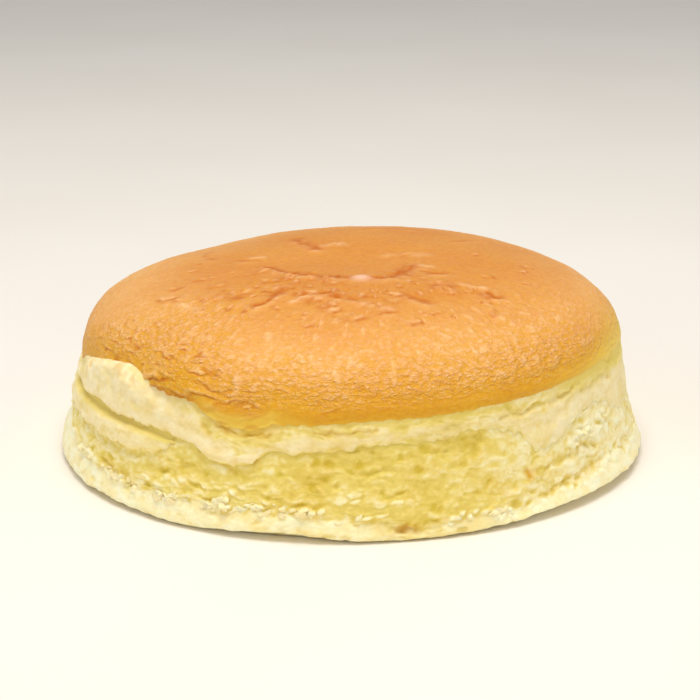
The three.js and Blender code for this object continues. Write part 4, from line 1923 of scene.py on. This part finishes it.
    def torn_edge(self, azimuth: Array) -> Array:
        """Height of the crust's edge: ragged at the thick lip, and hanging down a little elsewhere."""
        level = self.edges.crust_edge.at(azimuth)
        ring = self.outline.place(self.outline.tin_radius, azimuth, level)
        torn = 0.4 * layered(ring, 7.0, 7.0, 121, 4) + 0.5 * np.abs(Grain(2.6, 2.6, 127).smooth(ring))
        thick = self.thick_lip.share(azimuth)
        return level + torn * (0.8 + 2.0 * thick) - self.feather * (1.0 - thick)

    def underside(self, azimuth: Array, lip: Array) -> list[Array]:
        """Rows from near the axis, hidden in the sponge, out and round to the torn edge.

        Args:
            azimuth: Angles in radians.
            lip: Points of the edge's row, shape (1, columns, 3).

        Returns:
            Rows of the same shape.
        """
        outline = self.outline
        hidden = [
            outline.place(outline.tin_radius * part, azimuth, self.under)[None]
            for part in (0.02, 0.4, 0.8, 0.91)
        ]
        inward = outline.place(-1.0, azimuth, 0.0) - outline.place(0.0, azimuth, 0.0)
        turned = [
            lip + inward * reach - np.array([0.0, 0.0, drop])
            for reach, drop in ((2.8, -0.2), (1.3, 0.2), (0.5, 0.3), (0.12, 0.16))
        ]
        return [*hidden, *turned]

    def tones(self, points: Array, azimuth: Array, climb: Array, relief: Relief) -> dict[str, Array]:
        """Numbers for the finish.

        Args:
            points: Places on the smooth dome, in mm.
            azimuth: Angle of each column.
            climb: Height over the crust's edge.
            relief: The crust's relief.

        Returns:
            The tones by name.
        """
        edge = self.torn_edge(azimuth)
        flap, scaly = self.flap.share(azimuth), self.scaly.share(azimuth)
        fading, far = self.fading.share(azimuth), self.far_right.share(azimuth)
        # The flap is torn into shreds that run level
        shreds = Grain(5.0, 1.1, 171).smooth(warp(points, 3.0, 1.0, 173))
        torn_low = ease(0.2, 0.5, shreds) * ease(4.4, 3.4, climb)
        pebbled = ease(22.0, 9.0, climb) * (0.5 + 0.5 * self.facing.share(azimuth))
        return {
            "climb": climb / (self.outline.height - edge),
            # crease is painted shade in cracks, under flake and blister edges, under the scaly edge and
            # across the flap's shreds; lit is painted highlight
            "crease": np.maximum.reduce([
                relief.crease,
                0.4 * scaly * ease(1.4, 0.4, climb),
                0.3 * flap * torn_low,
            ]),
            "lit": relief.lit,
            "blister": 0.7 * self.dimple_blister(points),
            "faded": np.maximum.reduce([
                fading * ease(9.0 + 7.0 * far, 0.5 + 2.0 * far, climb),
                0.75 * flap * ease(4.2, 2.4, climb),
                flap * ease(1.4, 0.4, climb),
                0.45 * (1.0 - scaly) * ease(2.4, 1.2, climb),
            ]),
            "peel": (0.2 + 0.8 * pebbled) * (1.0 - 0.8 * (1.0 - scaly) * ease(7.0, 3.6, climb)),
        }

    def make(self, material: bpy.types.Material) -> bpy.types.Object:
        """Make the piece."""
        azimuth = azimuths(self.columns)
        edge = self.torn_edge(azimuth)
        # Rows lie closer near the edge and stop just short of the axis
        share = np.linspace(0.0, 1.0, self.rows_over)[:, None] ** 1.35
        radius, height = self.outline.crown(azimuth, edge, share * 0.985)
        radius = blend(self.outline.wall(azimuth, edge), radius, ease(0.0, 0.09, share))
        climb = height - edge
        tuck = 0.8 * ease(3.4, 0.0, climb) * (1.0 - 0.8 * self.thick_lip.share(azimuth))
        proud = self.proud.at(azimuth) * ease(13.0, 2.0, climb)
        points = self.outline.place(radius, azimuth, height)
        relief = self.relief(points, azimuth, climb)
        dome = Rows(points, Closing.CAP)
        dome.push(proud - tuck + relief.height + 0.45 * self.dimple_blister(points))
        under = self.underside(azimuth, dome.points[:1])
        tones = {
            name: np.concatenate([np.repeat(values[:1], len(under), axis=0), values])
            for name, values in self.tones(points, azimuth, climb, relief).items()
        }
        rows = Rows(np.concatenate([*under, dome.points]), Closing.CAP, tones)
        return finish_piece(rows.mesh("crust_browned"), material)


# --------------------------------
# Studio
# --------------------------------

@dataclass(frozen=True)
class Lamp:
    """One square soft light that faces the cake, with its places and side in metres and power in watts."""

    name: str
    place: tuple[float, float, float]
    power: float
    colour: str
    size: float = 0.6
    aim: tuple[float, float, float] = (0.0, 0.0, 0.02)

    def hang(self) -> None:
        """Hang the light."""
        data = bpy.data.lights.new(self.name, "AREA")
        data.shape = "SQUARE"
        data.size = self.size
        data.energy = self.power
        data.color = linear(self.colour)[:3]
        light = bpy.data.objects.new(self.name, data)
        light.location = self.place
        light.rotation_euler = (Vector(self.aim) - Vector(self.place)).to_track_quat("-Z", "Y").to_euler()
        bpy.context.scene.collection.objects.link(light)


@dataclass(frozen=True)
class Studio:
    """Pale table, soft overhead light and the camera.

    Args:
        distance: From the camera to the origin, in metres.
        elevation: Height of the camera over the table, in degrees.
        pitch: How far it looks down, in degrees.
        lens: Focal length in mm, on a sensor of the given width.
        floor_half: Half the table's width in metres.
        air, air_strength: Light that comes from all round.
        lamps: The soft lights.
    """

    distance: float = 0.557
    elevation: float = 19.4
    pitch: float = 16.93
    lens: float = 102.1
    sensor: float = 36.0
    floor_half: float = 4.0
    air: str = "#f2f2f2"
    air_strength: float = 0.46
    lamps: tuple[Lamp, ...] = (
        Lamp("lamp_above", (0.0, -0.12, 0.95), 7.3, "#fffaf4"),
        Lamp("lamp_left", (-0.85, -0.8, 0.45), 2.4, "#fffaf0"),
        Lamp("lamp_right", (0.8, -0.85, 0.45), 2.05, "#fff2da"),
    )

    def floor(self) -> None:
        """Lay the table top."""
        grid = bmesh.new()
        bmesh.ops.create_grid(grid, x_segments=8, y_segments=8, size=self.floor_half)
        mesh = bpy.data.meshes.new("table_top")
        grid.to_mesh(mesh)
        grid.free()
        mesh.materials.append(FloorFinish().make())
        table = bpy.data.objects.new("table_top", mesh)
        bpy.context.scene.collection.objects.link(table)

    def camera(self) -> None:
        """Set up the camera in front of the cake."""
        data = bpy.data.cameras.new("camera")
        data.lens = self.lens
        data.sensor_width = self.sensor
        data.clip_start = 0.01
        camera = bpy.data.objects.new("camera", data)
        rise = math.radians(self.elevation)
        camera.location = (0.0, -self.distance * math.cos(rise), self.distance * math.sin(rise))
        camera.rotation_euler = Euler((math.radians(90.0 - self.pitch), 0.0, 0.0))
        bpy.context.scene.collection.objects.link(camera)
        bpy.context.scene.camera = camera

    def make(self) -> None:
        """Build the whole studio."""
        scene = bpy.context.scene
        scene.view_settings.view_transform = "Standard"
        world = bpy.data.worlds.new("studio_air")
        world.use_nodes = True
        background = world.node_tree.nodes["Background"]
        background.inputs["Color"].default_value = linear(self.air)
        background.inputs["Strength"].default_value = self.air_strength
        scene.world = world
        self.floor()
        for lamp in self.lamps:
            lamp.hang()
        self.camera()


def main() -> None:
    """Build the cake and its studio, and report each piece."""
    low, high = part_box(NODE)
    outline = Outline((high.x - low.x) / 2.0 / MM, (high.z - low.z) / MM)
    edges = Edges()
    LOG.info("foot radius %.1f mm, height %.1f mm", outline.foot_radius, outline.height)
    # The sponge's skin, mostly the skirt, is painted paler than the folds' skin, as painted light on the
    # flared foot that faces up beside the bright table
    crumb = FoamFinish(
        "souffle_sponge_crumb_torn", scatter_weight=0.5, cream="#fdefba", pale="#fffad8",
    ).make()
    skin = FoamFinish("souffle_sponge_skin_set").make()
    browned = CrustFinish().make()
    chips = FoamFinish(
        "souffle_sponge_chips_torn", scatter_weight=0.3, scatter_mm=(0.25, 0.22, 0.14),
    ).make()
    body = Sponge(outline, edges).make(crumb)
    LooseCrumbs(body).make(chips)
    LowerFold(outline, edges.lower_lip, edges.upper_lip).make(skin)
    UpperFold(outline, edges.upper_lip, edges.crust_edge, edges.lip_blunt, edges.foam_lightness).make(skin)
    Crust(outline, edges).make(browned)
    Studio().make()


if __name__ == "__main__":
    main()
